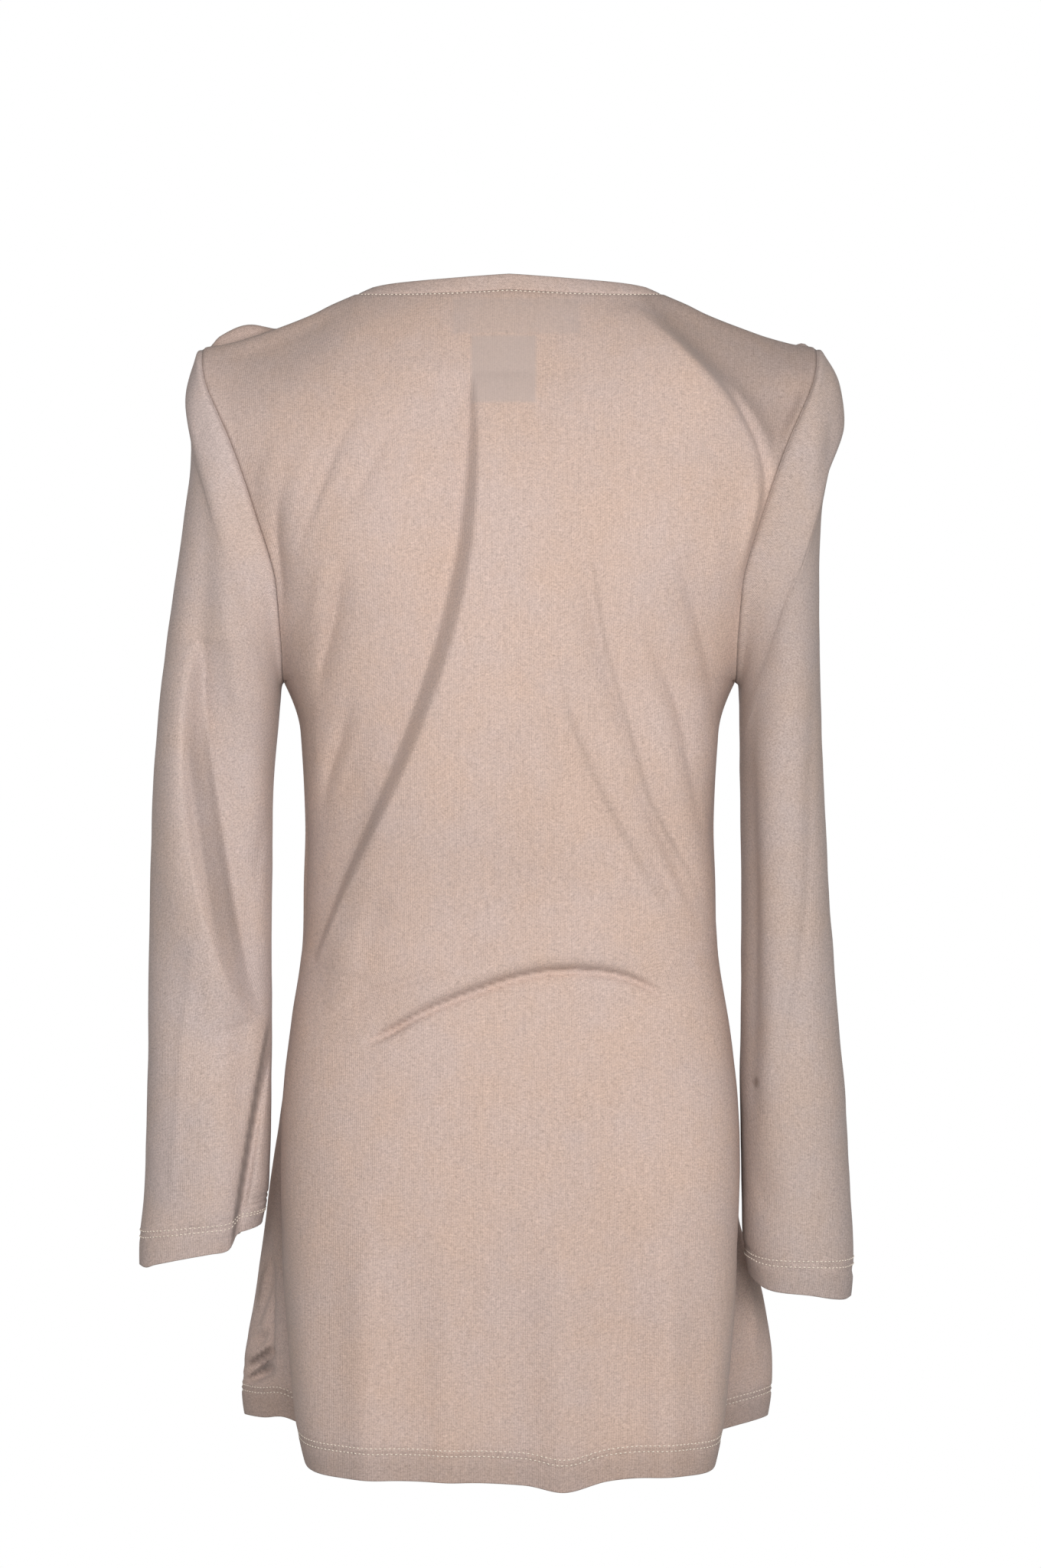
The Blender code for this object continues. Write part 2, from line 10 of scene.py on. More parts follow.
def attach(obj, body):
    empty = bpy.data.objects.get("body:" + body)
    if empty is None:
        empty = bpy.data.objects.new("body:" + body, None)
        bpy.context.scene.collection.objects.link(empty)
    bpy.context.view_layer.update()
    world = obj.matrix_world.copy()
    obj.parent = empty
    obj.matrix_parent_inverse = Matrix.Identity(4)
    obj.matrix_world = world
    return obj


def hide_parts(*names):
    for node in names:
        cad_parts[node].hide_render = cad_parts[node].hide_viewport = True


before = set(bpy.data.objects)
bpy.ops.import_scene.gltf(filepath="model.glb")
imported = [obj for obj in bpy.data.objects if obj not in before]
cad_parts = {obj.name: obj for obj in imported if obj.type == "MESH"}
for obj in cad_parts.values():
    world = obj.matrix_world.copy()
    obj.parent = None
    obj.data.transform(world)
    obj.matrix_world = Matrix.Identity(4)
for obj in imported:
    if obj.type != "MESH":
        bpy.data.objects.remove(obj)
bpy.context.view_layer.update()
millimetre = 0.001
print("frame loaded:", ", ".join(sorted(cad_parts)))

# All lengths below are in millimetres: x to the wearer's left, y out of the back, z up

cloth = {
    "hemGap": 1.75,          # between the outside and the turned-up layer of a hem
    # distances of the rows of points from a hem's edge
    "hemRows": (0, 0.7, 1.8, 3.5, 6, 9, 12, 14.3, 15.6, 17.2, 19, 20.4, 22.5),
    "seamDip": 1.5,          # how deep a sewn seam sinks between the pieces
    "seamDipWidth": 1.5,
    "seamShadeWidth": 1.0,
    "sleeveSeamHold": 14,    # how far from a sewn edge the folds have their full height
    "panelTopHold": 24,
    "panelSideHold": 12,
    "unevenness": 0.7,
    "curl": 2.6,             # how far the lowest edge of a hem turns in
    "curlHeight": 34,
}

body = {
    "armpit": -258.0,
    "shoulderHalf": 199.5,
    "shoulderHeight": -43.0,
    "neckShare": 0.5,
    "lip": 8.0,
    "lipDrop": 34.0,
    "lipShare": 0.3,
    "frontSquareness": 2.4,
    "rightSquareness": 1.2,
    "flarePeak": 20.0,
    "neckDepth": 8.0,
    "tipDepth": 4.0,
    "neckArch": 21.5,
    "armholeSpread": 0.4,
    "bladeRise": 0.035,
    "bladeShare": 0.6,
    # height, half width, back depth, front depth, squareness, seam depth, flare on the left and on the right
    "sections": (
        (-258, 139, 90, -118, 2.3, 0, 0, 0),
        (-290, 135, 88, -117.6, 2.3, 0, 0, 0),
        (-350, 132, 82, -109, 2.3, 0, 0, 0),
        (-390, 133, 75, -101, 2.3, 0, 0, 0),
        (-435, 134, 71, -96, 2.4, 0, 0, 0),
        (-480, 140.5, 79, -97, 2.5, 1, 0, 0),
        (-530, 146, 94, -102, 2.6, 3, 3, 0),
        (-570, 147, 101, -106, 2.8, 6, 10, 0),
        (-610, 145.5, 104, -110, 3.1, 9, 18, 6),
        (-650, 143.5, 106, -113, 3.5, 12, 27, 24),
        (-690, 140, 108, -115, 3.9, 15, 38, 37),
        (-725, 136, 110, -117, 4.3, 17, 47, 43),
        (-765, 131.5, 111, -118, 4.6, 18, 51, 46),
    ),
    # distance from the middle, height
    "shoulderSeam": (
        (99.75, -8.5), (115, -15), (126, -20.5), (138, -25.5), (153, -31), (168, -36), (183, -40),
        (199.5, -43),
    ),
    # height, distance from the middle
    "armhole": (
        (-258, 147), (-230, 147.2), (-206, 148.3), (-192, 150), (-175, 154.8), (-155, 161.5), (-134, 168.5),
        (-116, 175), (-100, 181.5), (-88, 187), (-71, 194.5), (-58, 198), (-43, 199.5),
    ),
}

backPanel = {
    "isBack": True,
    "neckHeight": -8.5,
    "neckDip": 2.0,
    "armholeDepth": 50.0,
    "armholeScoop": 0.0,
    "rounding": 2.6,
    "fullness": 0.6,
    "columns": 240,
    "rowsBelow": 230,
    "rowsAbove": 120,
    # place across, height of the lower edge
    "hem": (
        (-1, -741), (-0.9, -747), (-0.8, -753), (-0.66, -756.5), (-0.45, -756), (-0.3, -758.5),
        (-0.17, -764.5), (-0.05, -761), (0.2, -759), (0.43, -758), (0.66, -757), (0.8, -753.5), (0.9, -747),
        (1, -740),
    ),
    # distance from the middle, half width, rise, height where it starts
    "flutes": (
        (88, 14, 6.0, -570), (38, 12, 4.0, -590), (-34, 18, 6.5, -570), (-98, 13, 6.0, -580),
    ),
    "puffs": (),
}

frontPanel = {
    "isBack": False,
    "neckHeight": -109.0,
    "neckRounding": 0.6,
    "armholeDepth": -54.0,
    "armholeScoop": 6.0,
    "rounding": 2.3,
    "fullness": 0.6,
    "columns": 240,
    "rowsBelow": 230,
    "rowsAbove": 120,
    "hem": (
        (-1, -745), (-0.9, -742), (-0.8, -741), (-0.55, -748), (0, -752), (0.55, -748), (0.8, -740),
        (0.88, -739), (0.94, -737), (1, -741),
    ),
    "flutes": (
        (96, 20, -4, -560), (30, 22, -4, -580), (-40, 22, -4, -570), (-100, 20, -4, -560),
    ),
    # place across, half width, place up, half height, rise
    "puffs": (
        (0.87, 0.12, 0.93, 0.06, 17), (0.66, 0.07, 0.95, 0.05, 7), (-0.98, 0.04, 0.95, 0.05, 6),
    ),
}

sleeves = {
    "columns": 132,
    "rows": 300,
    "seamHold": 0.14,
    "backFlatness": 0.75,
    # place along, outer edge x and z, inner edge x and z, half depth, middle depth
    "left": (
        (0.00, 199.5, -43, 147, -258, 52, 0),
        (0.02, 202.5, -47, 150.5, -261, 54, 0),
        (0.06, 209, -72, 151.5, -272, 55, 1),
        (0.12, 205, -108, 152.5, -287, 53, 2),
        (0.20, 209.5, -152, 154, -309, 49, 4),
        (0.32, 219.5, -222, 155.5, -344, 46, 6),
        (0.46, 227.5, -305, 156, -398, 44, 9),
        (0.62, 231.5, -402, 155.5, -465, 42, 12),
        (0.80, 232.5, -512, 156, -540, 40, 15),
        (0.92, 235, -590, 157, -588, 38, 17),
        (1.00, 240, -636, 158.5, -616, 37, 18),
    ),
    "right": (
        (0.00, 199.5, -43, 147, -258, 52, 0),
        (0.02, 203, -46, 151.5, -261, 54, 0),
        (0.06, 213.5, -66, 152, -271, 56, 1),
        (0.10, 216, -94, 152, -281, 56, 2),
        (0.14, 206.5, -119, 152, -291, 55, 3),
        (0.20, 200.5, -153, 152, -308, 54, 5),
        (0.32, 199.5, -224, 152, -343, 54, 8),
        (0.46, 201, -307, 152, -400, 52, 12),
        (0.62, 205.5, -405, 151.5, -470, 49, 16),
        (0.80, 214.5, -524, 151, -553, 45, 21),
        (0.92, 219, -602, 152, -608, 42, 24),
        (1.00, 221.5, -655, 153, -642, 41, 26),
    ),
    # distance from the middle, how far the back of the cuff's edge is raised there
    "cuffLeft": (
        (150, 7.0), (160, 6.6), (168, 6.4), (172.5, 6.2), (174.5, 4.0), (176, 0.5), (178, -2.3), (182, -2.8),
        (190, -1.5), (210, 0.0), (228, 0.3), (234, -0.5), (238, 0.8), (243, 4.0),
    ),
    "cuffRight": (
        (148, 3.0), (154, 0.5), (160, -2.5), (168, -3.0), (190, -0.5), (214, 0.0), (220, 1.5), (225, 4.0),
    ),
    # start and end along, angle (0 outer, 90 back, 180 inner), its drift, spread in degrees, depth
    "dentsLeft": ((0.45, 1.15, 128, 6, 20, 4), (0.10, 0.62, 62, 14, 16, 4)),
    "dentsRight": ((0.16, 0.84, 150, -4, 18, 5), (0.02, 0.16, 40, 10, 20, 4)),
}


def curveThrough(rows, column, place):
    # A smooth curve through one column of a table
    table = np.array(rows, float)
    if table[0, 0] > table[-1, 0]:
        table = table[::-1]
    knots = table[:, 0]
    values = table[:, column]
    slopes = np.empty(len(knots))
    slopes[1:-1] = (values[2:] - values[:-2]) / (knots[2:] - knots[:-2])
    slopes[0] = (values[1] - values[0]) / (knots[1] - knots[0])
    slopes[-1] = (values[-1] - values[-2]) / (knots[-1] - knots[-2])
    place = np.clip(place, knots[0], knots[-1])
    i = np.clip(np.searchsorted(knots, place, side="right") - 1, 0, len(knots) - 2)
    span = knots[i + 1] - knots[i]
    s = (place - knots[i]) / span
    rise = s * s * (3 - 2 * s)
    bend = slopes[i] * span * s * (1 - s) ** 2 - slopes[i + 1] * span * s * s * (1 - s)
    return values[i] * (1 - rise) + values[i + 1] * rise + bend


def ease(s):
    s = np.clip(s, 0, 1)
    return s * s * (3 - 2 * s)


def bell(distance, width):
    return np.exp(-((distance / width) ** 2))


def halfSection(share, half, depth, seamDepth, square, flare):
    # Points of half a section of the body, by their share of the way from the middle to the side seam
    step = np.linspace(0, 1, 300)
    angle = math.pi / 2 * step * step * (3 - 2 * step)
    fromSeam = (math.pi / 2 - angle) / math.radians(body["flarePeak"])
    bump = fromSeam * np.exp(1 - fromSeam) * np.sin(angle)
    power = (2 / square)[:, None]
    xs = half[:, None] * np.sin(angle) ** power + flare[:, None] * bump
    ys = seamDepth[:, None] + (depth - seamDepth)[:, None] * np.cos(angle) ** power
    run = np.cumsum(np.hypot(np.diff(xs), np.diff(ys)), axis=1)
    run = np.hstack([np.zeros((len(run), 1)), run])
    x = np.empty(len(share))
    y = np.empty(len(share))
    for k, at in enumerate(share):
        x[k] = np.interp(at * run[k, -1], run[k], xs[k])
        y[k] = np.interp(at * run[k, -1], run[k], ys[k])
    return x, y


def belowArmpit(panel, across, rise):
    # rise goes from 0 at the hem to 1 at the armpits
    share = np.abs(across)
    hem = curveThrough(panel["hem"], 1, across)
    z = hem + (body["armpit"] - hem) * rise
    half, back, front, square, seam, flareLeft, flareRight = (
        curveThrough(body["sections"], c, z) for c in range(1, 8)
    )
    if panel["isBack"]:
        fuller = np.where(across < 0, body["rightSquareness"], 0) * ease((body["armpit"] - z) / 60)
        x, y = halfSection(share, half, back, seam, square + fuller, 0 * flareLeft)
    else:
        flare = np.where(across > 0, flareLeft, flareRight)
        x, y = halfSection(share, half, front, seam, 0 * square + body["frontSquareness"], flare)
    drop = np.minimum((body["armpit"] - z) / body["lipDrop"], 1)
    x = x + body["lip"] * (1 - drop) ** 1.8 * share**6
    return np.copysign(x, across), y, z


def armholePoint(panel, turn):
    # turn goes from 0 at the armpit to 1 at the shoulder's tip
    middle = (body["shoulderHeight"] + body["armpit"]) / 2
    half = (body["shoulderHeight"] - body["armpit"]) / 2
    z = middle - half * np.cos(math.pi * turn)
    swing = np.sin(math.pi * turn)
    x = curveThrough(body["armhole"], 1, z) - panel["armholeScoop"] * swing
    return x, panel["armholeDepth"] * swing + body["tipDepth"] * turn * turn, z


def shoulderLine(x):
    neckHalf = body["shoulderHalf"] * body["neckShare"]
    arch = body["shoulderSeam"][0][1] + body["neckArch"] * (1 - (x / neckHalf) ** 2)
    return np.where(x >= neckHalf, curveThrough(body["shoulderSeam"], 1, x), arch)


def topHeight(panel, share):
    seam = curveThrough(body["shoulderSeam"], 1, body["shoulderHalf"] * share)
    end = body["shoulderSeam"][0][1]
    inner = np.minimum(share / body["neckShare"], 1)
    arch = np.cos(math.pi / 2 * inner)
    if panel["isBack"]:
        neck = end + (panel["neckHeight"] - end) * arch - panel["neckDip"] * np.sin(math.pi * inner)
    else:
        neck = end + (panel["neckHeight"] - end) * np.maximum(arch, 0) ** panel["neckRounding"]
    return np.where(share >= body["neckShare"], seam, neck)


def overShoulder(panel, x, z, lowY):
    up = np.clip((z - body["armpit"]) / (shoulderLine(x) - body["armpit"]), 0, 1)
    if panel["isBack"]:
        lowY = lowY * (1 + body["bladeRise"] * np.sin(math.pi * np.minimum(up / body["bladeShare"], 1)))
    neckHalf = body["shoulderHalf"] * body["neckShare"]
    out = np.maximum((x - neckHalf) / (body["shoulderHalf"] - neckHalf), 0)
    seam = body["neckDepth"] + (body["tipDepth"] - body["neckDepth"]) * out
    return seam + (lowY - seam) * (1 - up ** panel["rounding"]) ** panel["fullness"]


def aboveArmpit(panel, across, turn):
    share = np.abs(across)
    edgeX, edgeY, edgeZ = armholePoint(panel, np.array([turn]))
    lowX, lowY, _ = belowArmpit(panel, share, 1.0)
    lowShare = (lowX - body["lip"] * share**6) / body["sections"][0][1]
    swing = (1 - math.cos(math.pi * turn)) / 2
    z = body["armpit"] + (topHeight(panel, share) - body["armpit"]) * (turn + (swing - turn) * share**3)
    lip = body["lip"] * max(1 - turn / body["lipShare"], 0) ** 2
    x = (edgeX - lip) * (lowShare + (share - lowShare) * ease(turn)) + lip * share**6
    y = overShoulder(panel, x, z, lowY)
    spread = ease(turn / body["armholeSpread"])
    pull = share**2 * spread + share**10 * (1 - spread)
    y = y + (edgeY - overShoulder(panel, edgeX, edgeZ, 0.0)) * pull
    for place, halfPlace, height, halfHeight, rise in panel["puffs"]:
        lift = bell(across - place, halfPlace) * bell(turn - height, halfHeight)
        z = z + rise * lift * ease((1 - turn) / 0.04) * ease((1 - share) / 0.05)
    return np.copysign(x, across), y, z


def edgeSpaced(count, edge):
    # Places from 0 to 1, closer together beside a sewn edge
    near = np.array([0.0, 0.25, 0.55, 1.0]) * edge
    return np.concatenate([near, np.linspace(edge, 1, count - 3)[1:]])


def panelGrid(panel):
    # Rows of points from the hem up to the neck and shoulders
    toMiddle = edgeSpaced(panel["columns"] // 2, 0.016)
    across = np.concatenate([toMiddle - 1, 1 - toMiddle[::-1][1:]])
    length = body["armpit"] - panel["hem"][0][1]
    hemRows = np.array(cloth["hemRows"]) / length
    above = np.linspace(hemRows[-1], 1, panel["rowsBelow"] - len(hemRows) + 1)[1:]
    points = [np.stack(belowArmpit(panel, across, rise), 1) for rise in np.concatenate([hemRows, above])]
    for turn in (1 - edgeSpaced(panel["rowsAbove"], 0.018))[::-1][1:]:
        points.append(np.stack(aboveArmpit(panel, across, turn), 1))
    return across, np.array(points)


def sleeveGrid(side):
    table = sleeves["left" if side > 0 else "right"]
    dents = sleeves["dentsLeft" if side > 0 else "dentsRight"]
    angles = np.linspace(math.pi, -math.pi, sleeves["columns"] + 1)
    length = 0.5 * (math.dist(table[0][1:3], table[-1][1:3]) + math.dist(table[0][3:5], table[-1][3:5]))
    cuffRows = 1 - np.array(cloth["hemRows"])[::-1] / length
    middle = np.linspace(0.012, cuffRows[0], sleeves["rows"] - len(cuffRows) - 4)[:-1]
    alongs = np.concatenate([[0, 0.0015, 0.0035, 0.0065], middle, cuffRows])
    cuff = sleeves["cuffLeft" if side > 0 else "cuffRight"]
    points = []
    for along in alongs:
        ox, oz, ix, iz, depth, middle = (float(curveThrough(table, c, along)) for c in range(1, 7))
        outward = np.cos(angles)
        backward = np.sin(angles)
        share = (1 + outward) / 2
        x = ix + (ox - ix) * share
        z = iz + (oz - iz) * share
        flatter = np.abs(backward) ** sleeves["backFlatness"]
        y = middle + depth * np.where(backward > 0, flatter, backward)
        hold = max(1 - along / sleeves["seamHold"], 0) ** 2
        if hold > 0:
            turn = 1 - np.abs(angles) / math.pi
            back = armholePoint(backPanel, turn)
            front = armholePoint(frontPanel, turn)
            seamX, seamY, seamZ = (np.where(angles >= 0, b, f) for b, f in zip(back, front))
            seamX = seamX + (ox - table[0][1]) * share + (ix - table[0][3]) * (1 - share)
            seamZ = seamZ + (oz - table[0][2]) * share + (iz - table[0][4]) * (1 - share)
            x = x + (seamX - x) * hold
            y = y + (seamY * (depth / table[0][5]) - y) * hold
            z = z + (seamZ - z) * hold
        for start, end, at, drift, spread, deep in dents:
            run = (along - start) / (end - start)
            if 0 < run < 1:
                away = np.degrees(angles) - at - drift * run
                pull = deep * math.sin(math.pi * run) ** 0.7 * bell(away, spread)
                x = x - pull * outward
                y = y - pull * backward
        onBack = np.maximum(ease((backward + 0.1) / 0.5), ease((178 - x) / 8))
        z = z + curveThrough(cuff, 1, x) * ease((along - 0.93) / 0.07) * onBack
        points.append(np.stack([x * side, y, z], 1))
    return alongs, angles, np.array(points)


def lineDistance(x, z, points):
    # Distance from a fold's line, above 0 to the wearer's left of a line that runs down, and the way along it
    knots = np.array(points, float)
    steps = np.hypot(*np.diff(knots, axis=0).T)
    table = np.column_stack([np.concatenate([[0], np.cumsum(steps)]), knots])
    at = np.linspace(0, table[-1, 0], max(6, 4 * len(points)))
    line = np.column_stack([curveThrough(table, 1, at), curveThrough(table, 2, at)])
    nearest = np.full(x.shape, 1e9)
    signed = np.zeros(x.shape)
    place = np.zeros(x.shape)
    for k in range(len(line) - 1):
        dx, dz = line[k + 1] - line[k]
        length = math.hypot(dx, dz)
        px = x - line[k, 0]
        pz = z - line[k, 1]
        share = np.clip((px * dx + pz * dz) / length**2, 0, 1)
        away = np.hypot(px - share * dx, pz - share * dz)
        closer = away < nearest
        nearest = np.where(closer, away, nearest)
        signed = np.where(closer, np.copysign(away, dx * pz - dz * px), signed)
        place = np.where(closer, at[k] + share * (at[k + 1] - at[k]), place)
    return signed, place, table[-1, 0]


def nearLine(x, z, points, reach):
    # Which places are near enough to a fold's line to feel it
    knots = np.array(points, float)
    low = knots.min(axis=0) - reach
    high = knots.max(axis=0) + reach
    return (x > low[0]) & (x < high[0]) & (z > low[1]) & (z < high[1])


def foldHeights(x, z, ridges, tucks):
    # How far the folds lift the cloth
    lift = np.zeros(x.shape)
    for height, widthPlus, widthMinus, power, points in ridges:
        near = nearLine(x, z, points, 3.2 * max(widthPlus, widthMinus))
        away, place, total = lineDistance(x[near], z[near], points)
        taper = min(70, 16 * min(widthPlus, widthMinus), 0.45 * total)
        held = ease(place / taper) * ease((total - place) / taper)
        share = np.sqrt(away**2 + 0.25) / np.where(away > 0, widthPlus, widthMinus)
        lift[near] += height * held * np.exp(-(share**power))
    for height, rise, fall, side, softness, points in tucks:
        near = nearLine(x, z, points, 2.6 * fall)
        away, place, total = lineDistance(x[near], z[near], points)
        taper = min(75, 0.45 * total)
        held = ease(place / taper) * ease((total - place) / taper)
        soft = softness * np.logaddexp(0, side * away / softness)
        lift[near] += height * held * (1 - np.exp(-soft / rise)) * bell(soft, fall)
    return lift


def rampHeights(x, z, ramps):
    # A layer folded over: a steep even slope between a lower and a higher part
    lift = np.zeros(x.shape)
    for height, width, fallLow, fallHigh, side, points in ramps:
        near = nearLine(x, z, points, 2.6 * max(fallLow, fallHigh))
        away, place, total = lineDistance(x[near], z[near], points)
        middle = np.sin(math.pi * place / total)
        wide = width * (0.35 + 0.65 * middle)
        d = side * away
        slope = ease(d / wide) * 0.35 + np.clip(d / wide, 0, 1) * 0.65 - 0.5
        fade = np.where(d < 0, bell(d, fallLow), bell(np.maximum(d - wide, 0), fallHigh))
        held = np.maximum(middle, 0) ** 0.6 * fade
        lift[near] += height * held * slope
    return lift


def paintedShadeTones(x, z, paintedShades):
    # Painted shade: darker bands beside fold lines, where creases, the shoulders' upward slopes and other
    # faces turned from the light lie in shade
    tone = np.zeros(x.shape)
    for strength, side, soft, lasts, taper, points in paintedShades:
        away, place, total = lineDistance(x, z, points)
        ends = ease(place / taper) * ease((total - place) / taper)
        tone += strength * ease(side * away / soft) * ease((lasts - side * away) / soft) * ends
    return tone


def normalsOf(points, flip):
    along = np.gradient(points, axis=0)
    around = np.gradient(points, axis=1)
    if np.allclose(points[:, 0], points[:, -1]):
        around[:, 0] = around[:, -1] = (points[:, 1] - points[:, -2]) / 2
    normal = np.cross(along, around) if flip else np.cross(around, along)
    return normal / np.maximum(np.linalg.norm(normal, axis=2, keepdims=True), 1e-9)


def unevenness(points, seed):
    # The small irregular waves of cloth that has been worn and washed
    out = np.empty(points.shape[:2])
    shift = Vector((seed * 7.3, seed * 3.1, seed * 5.7))
    for r, row in enumerate(points):
        for c, p in enumerate(row):
            at = Vector(p)
            out[r, c] = noise.noise(at * 0.018 + shift) + 0.45 * noise.noise(at * 0.05 + shift)
    return out * cloth["unevenness"]


def runsAlong(points, axis):
    steps = np.linalg.norm(np.diff(points, axis=axis), axis=2)
    zeros = np.zeros_like(steps[:1] if axis == 0 else steps[:, :1])
    return np.concatenate([zeros, np.cumsum(steps, axis=axis)], axis=axis)


def seamDip(distance):
    return cloth["seamDip"] * (1 - bell(distance, cloth["seamDipWidth"]))


def turnUp(points, normals, rowsFromEdge):
    # The hem's inner layer: the lowest rows again, set inwards, with a rounded edge between
    gap = cloth["hemGap"]
    inner = points[:rowsFromEdge] - normals[:rowsFromEdge] * gap
    down = points[0] - points[1]
    down = down / np.linalg.norm(down, axis=1, keepdims=True)
    edge = []
    for degrees in (150, 120, 90, 60, 30):
        a = math.radians(degrees)
        edge.append(points[0] - normals[0] * gap / 2 * (1 - math.cos(a)) + down * gap / 2 * math.sin(a))
    return np.concatenate([inner[::-1], np.array(edge), points])


def placed(name, mesh, material):
    # The mesh as a piece in the scene
    mesh.materials.append(material)
    piece = bpy.data.objects.new(name, mesh)
    bpy.context.scene.collection.objects.link(piece)
    return piece


def clothMesh(name, points, across, up, flip, material, shade=None):
    # A sheet of cloth: a grid whose points go to their places, with a UV map in metres along the knit
    rows, columns = points.shape[:2]
    made = bmesh.new()
    bmesh.ops.create_grid(made, x_segments=columns - 1, y_segments=rows - 1, size=1.0)
    mesh = bpy.data.meshes.new(name)
    made.to_mesh(mesh)
    flat = np.empty(len(mesh.vertices) * 3)
    mesh.vertices.foreach_get("co", flat)
    flat = flat.reshape(-1, 3)
    column = np.rint((flat[:, 0] + 1) / 2 * (columns - 1)).astype(int)
    row = np.rint((flat[:, 1] + 1) / 2 * (rows - 1)).astype(int)
    mesh.vertices.foreach_set("co", (points[row, column] * millimetre).ravel())
    # The painted shade along folds, yoke and seams is kept on the points
    if shade is not None:
        darker = mesh.attributes.new("shade", "FLOAT", "POINT")
        darker.data.foreach_set("value", shade[row, column])
    corner = np.empty(len(mesh.loops), int)
    mesh.loops.foreach_get("vertex_index", corner)
    layer = mesh.uv_layers.new(name="knit")
    uv = np.stack([across[row, column][corner], up[row, column][corner]], 1) * millimetre
    layer.data.foreach_set("uv", uv.ravel())
    made.clear()
    made.from_mesh(mesh)
    bmesh.ops.remove_doubles(made, verts=made.verts, dist=1e-7)
    if flip:
        bmesh.ops.reverse_faces(made, faces=made.faces)
    made.to_mesh(mesh)
    made.free()
    mesh.shade_smooth()
    return placed(name, mesh, material)


def giveThickness(piece, thickness):
    wall = piece.modifiers.new("thickness", "SOLIDIFY")
    wall.thickness = thickness * millimetre
    wall.offset = -1.0
    wall.use_rim = True


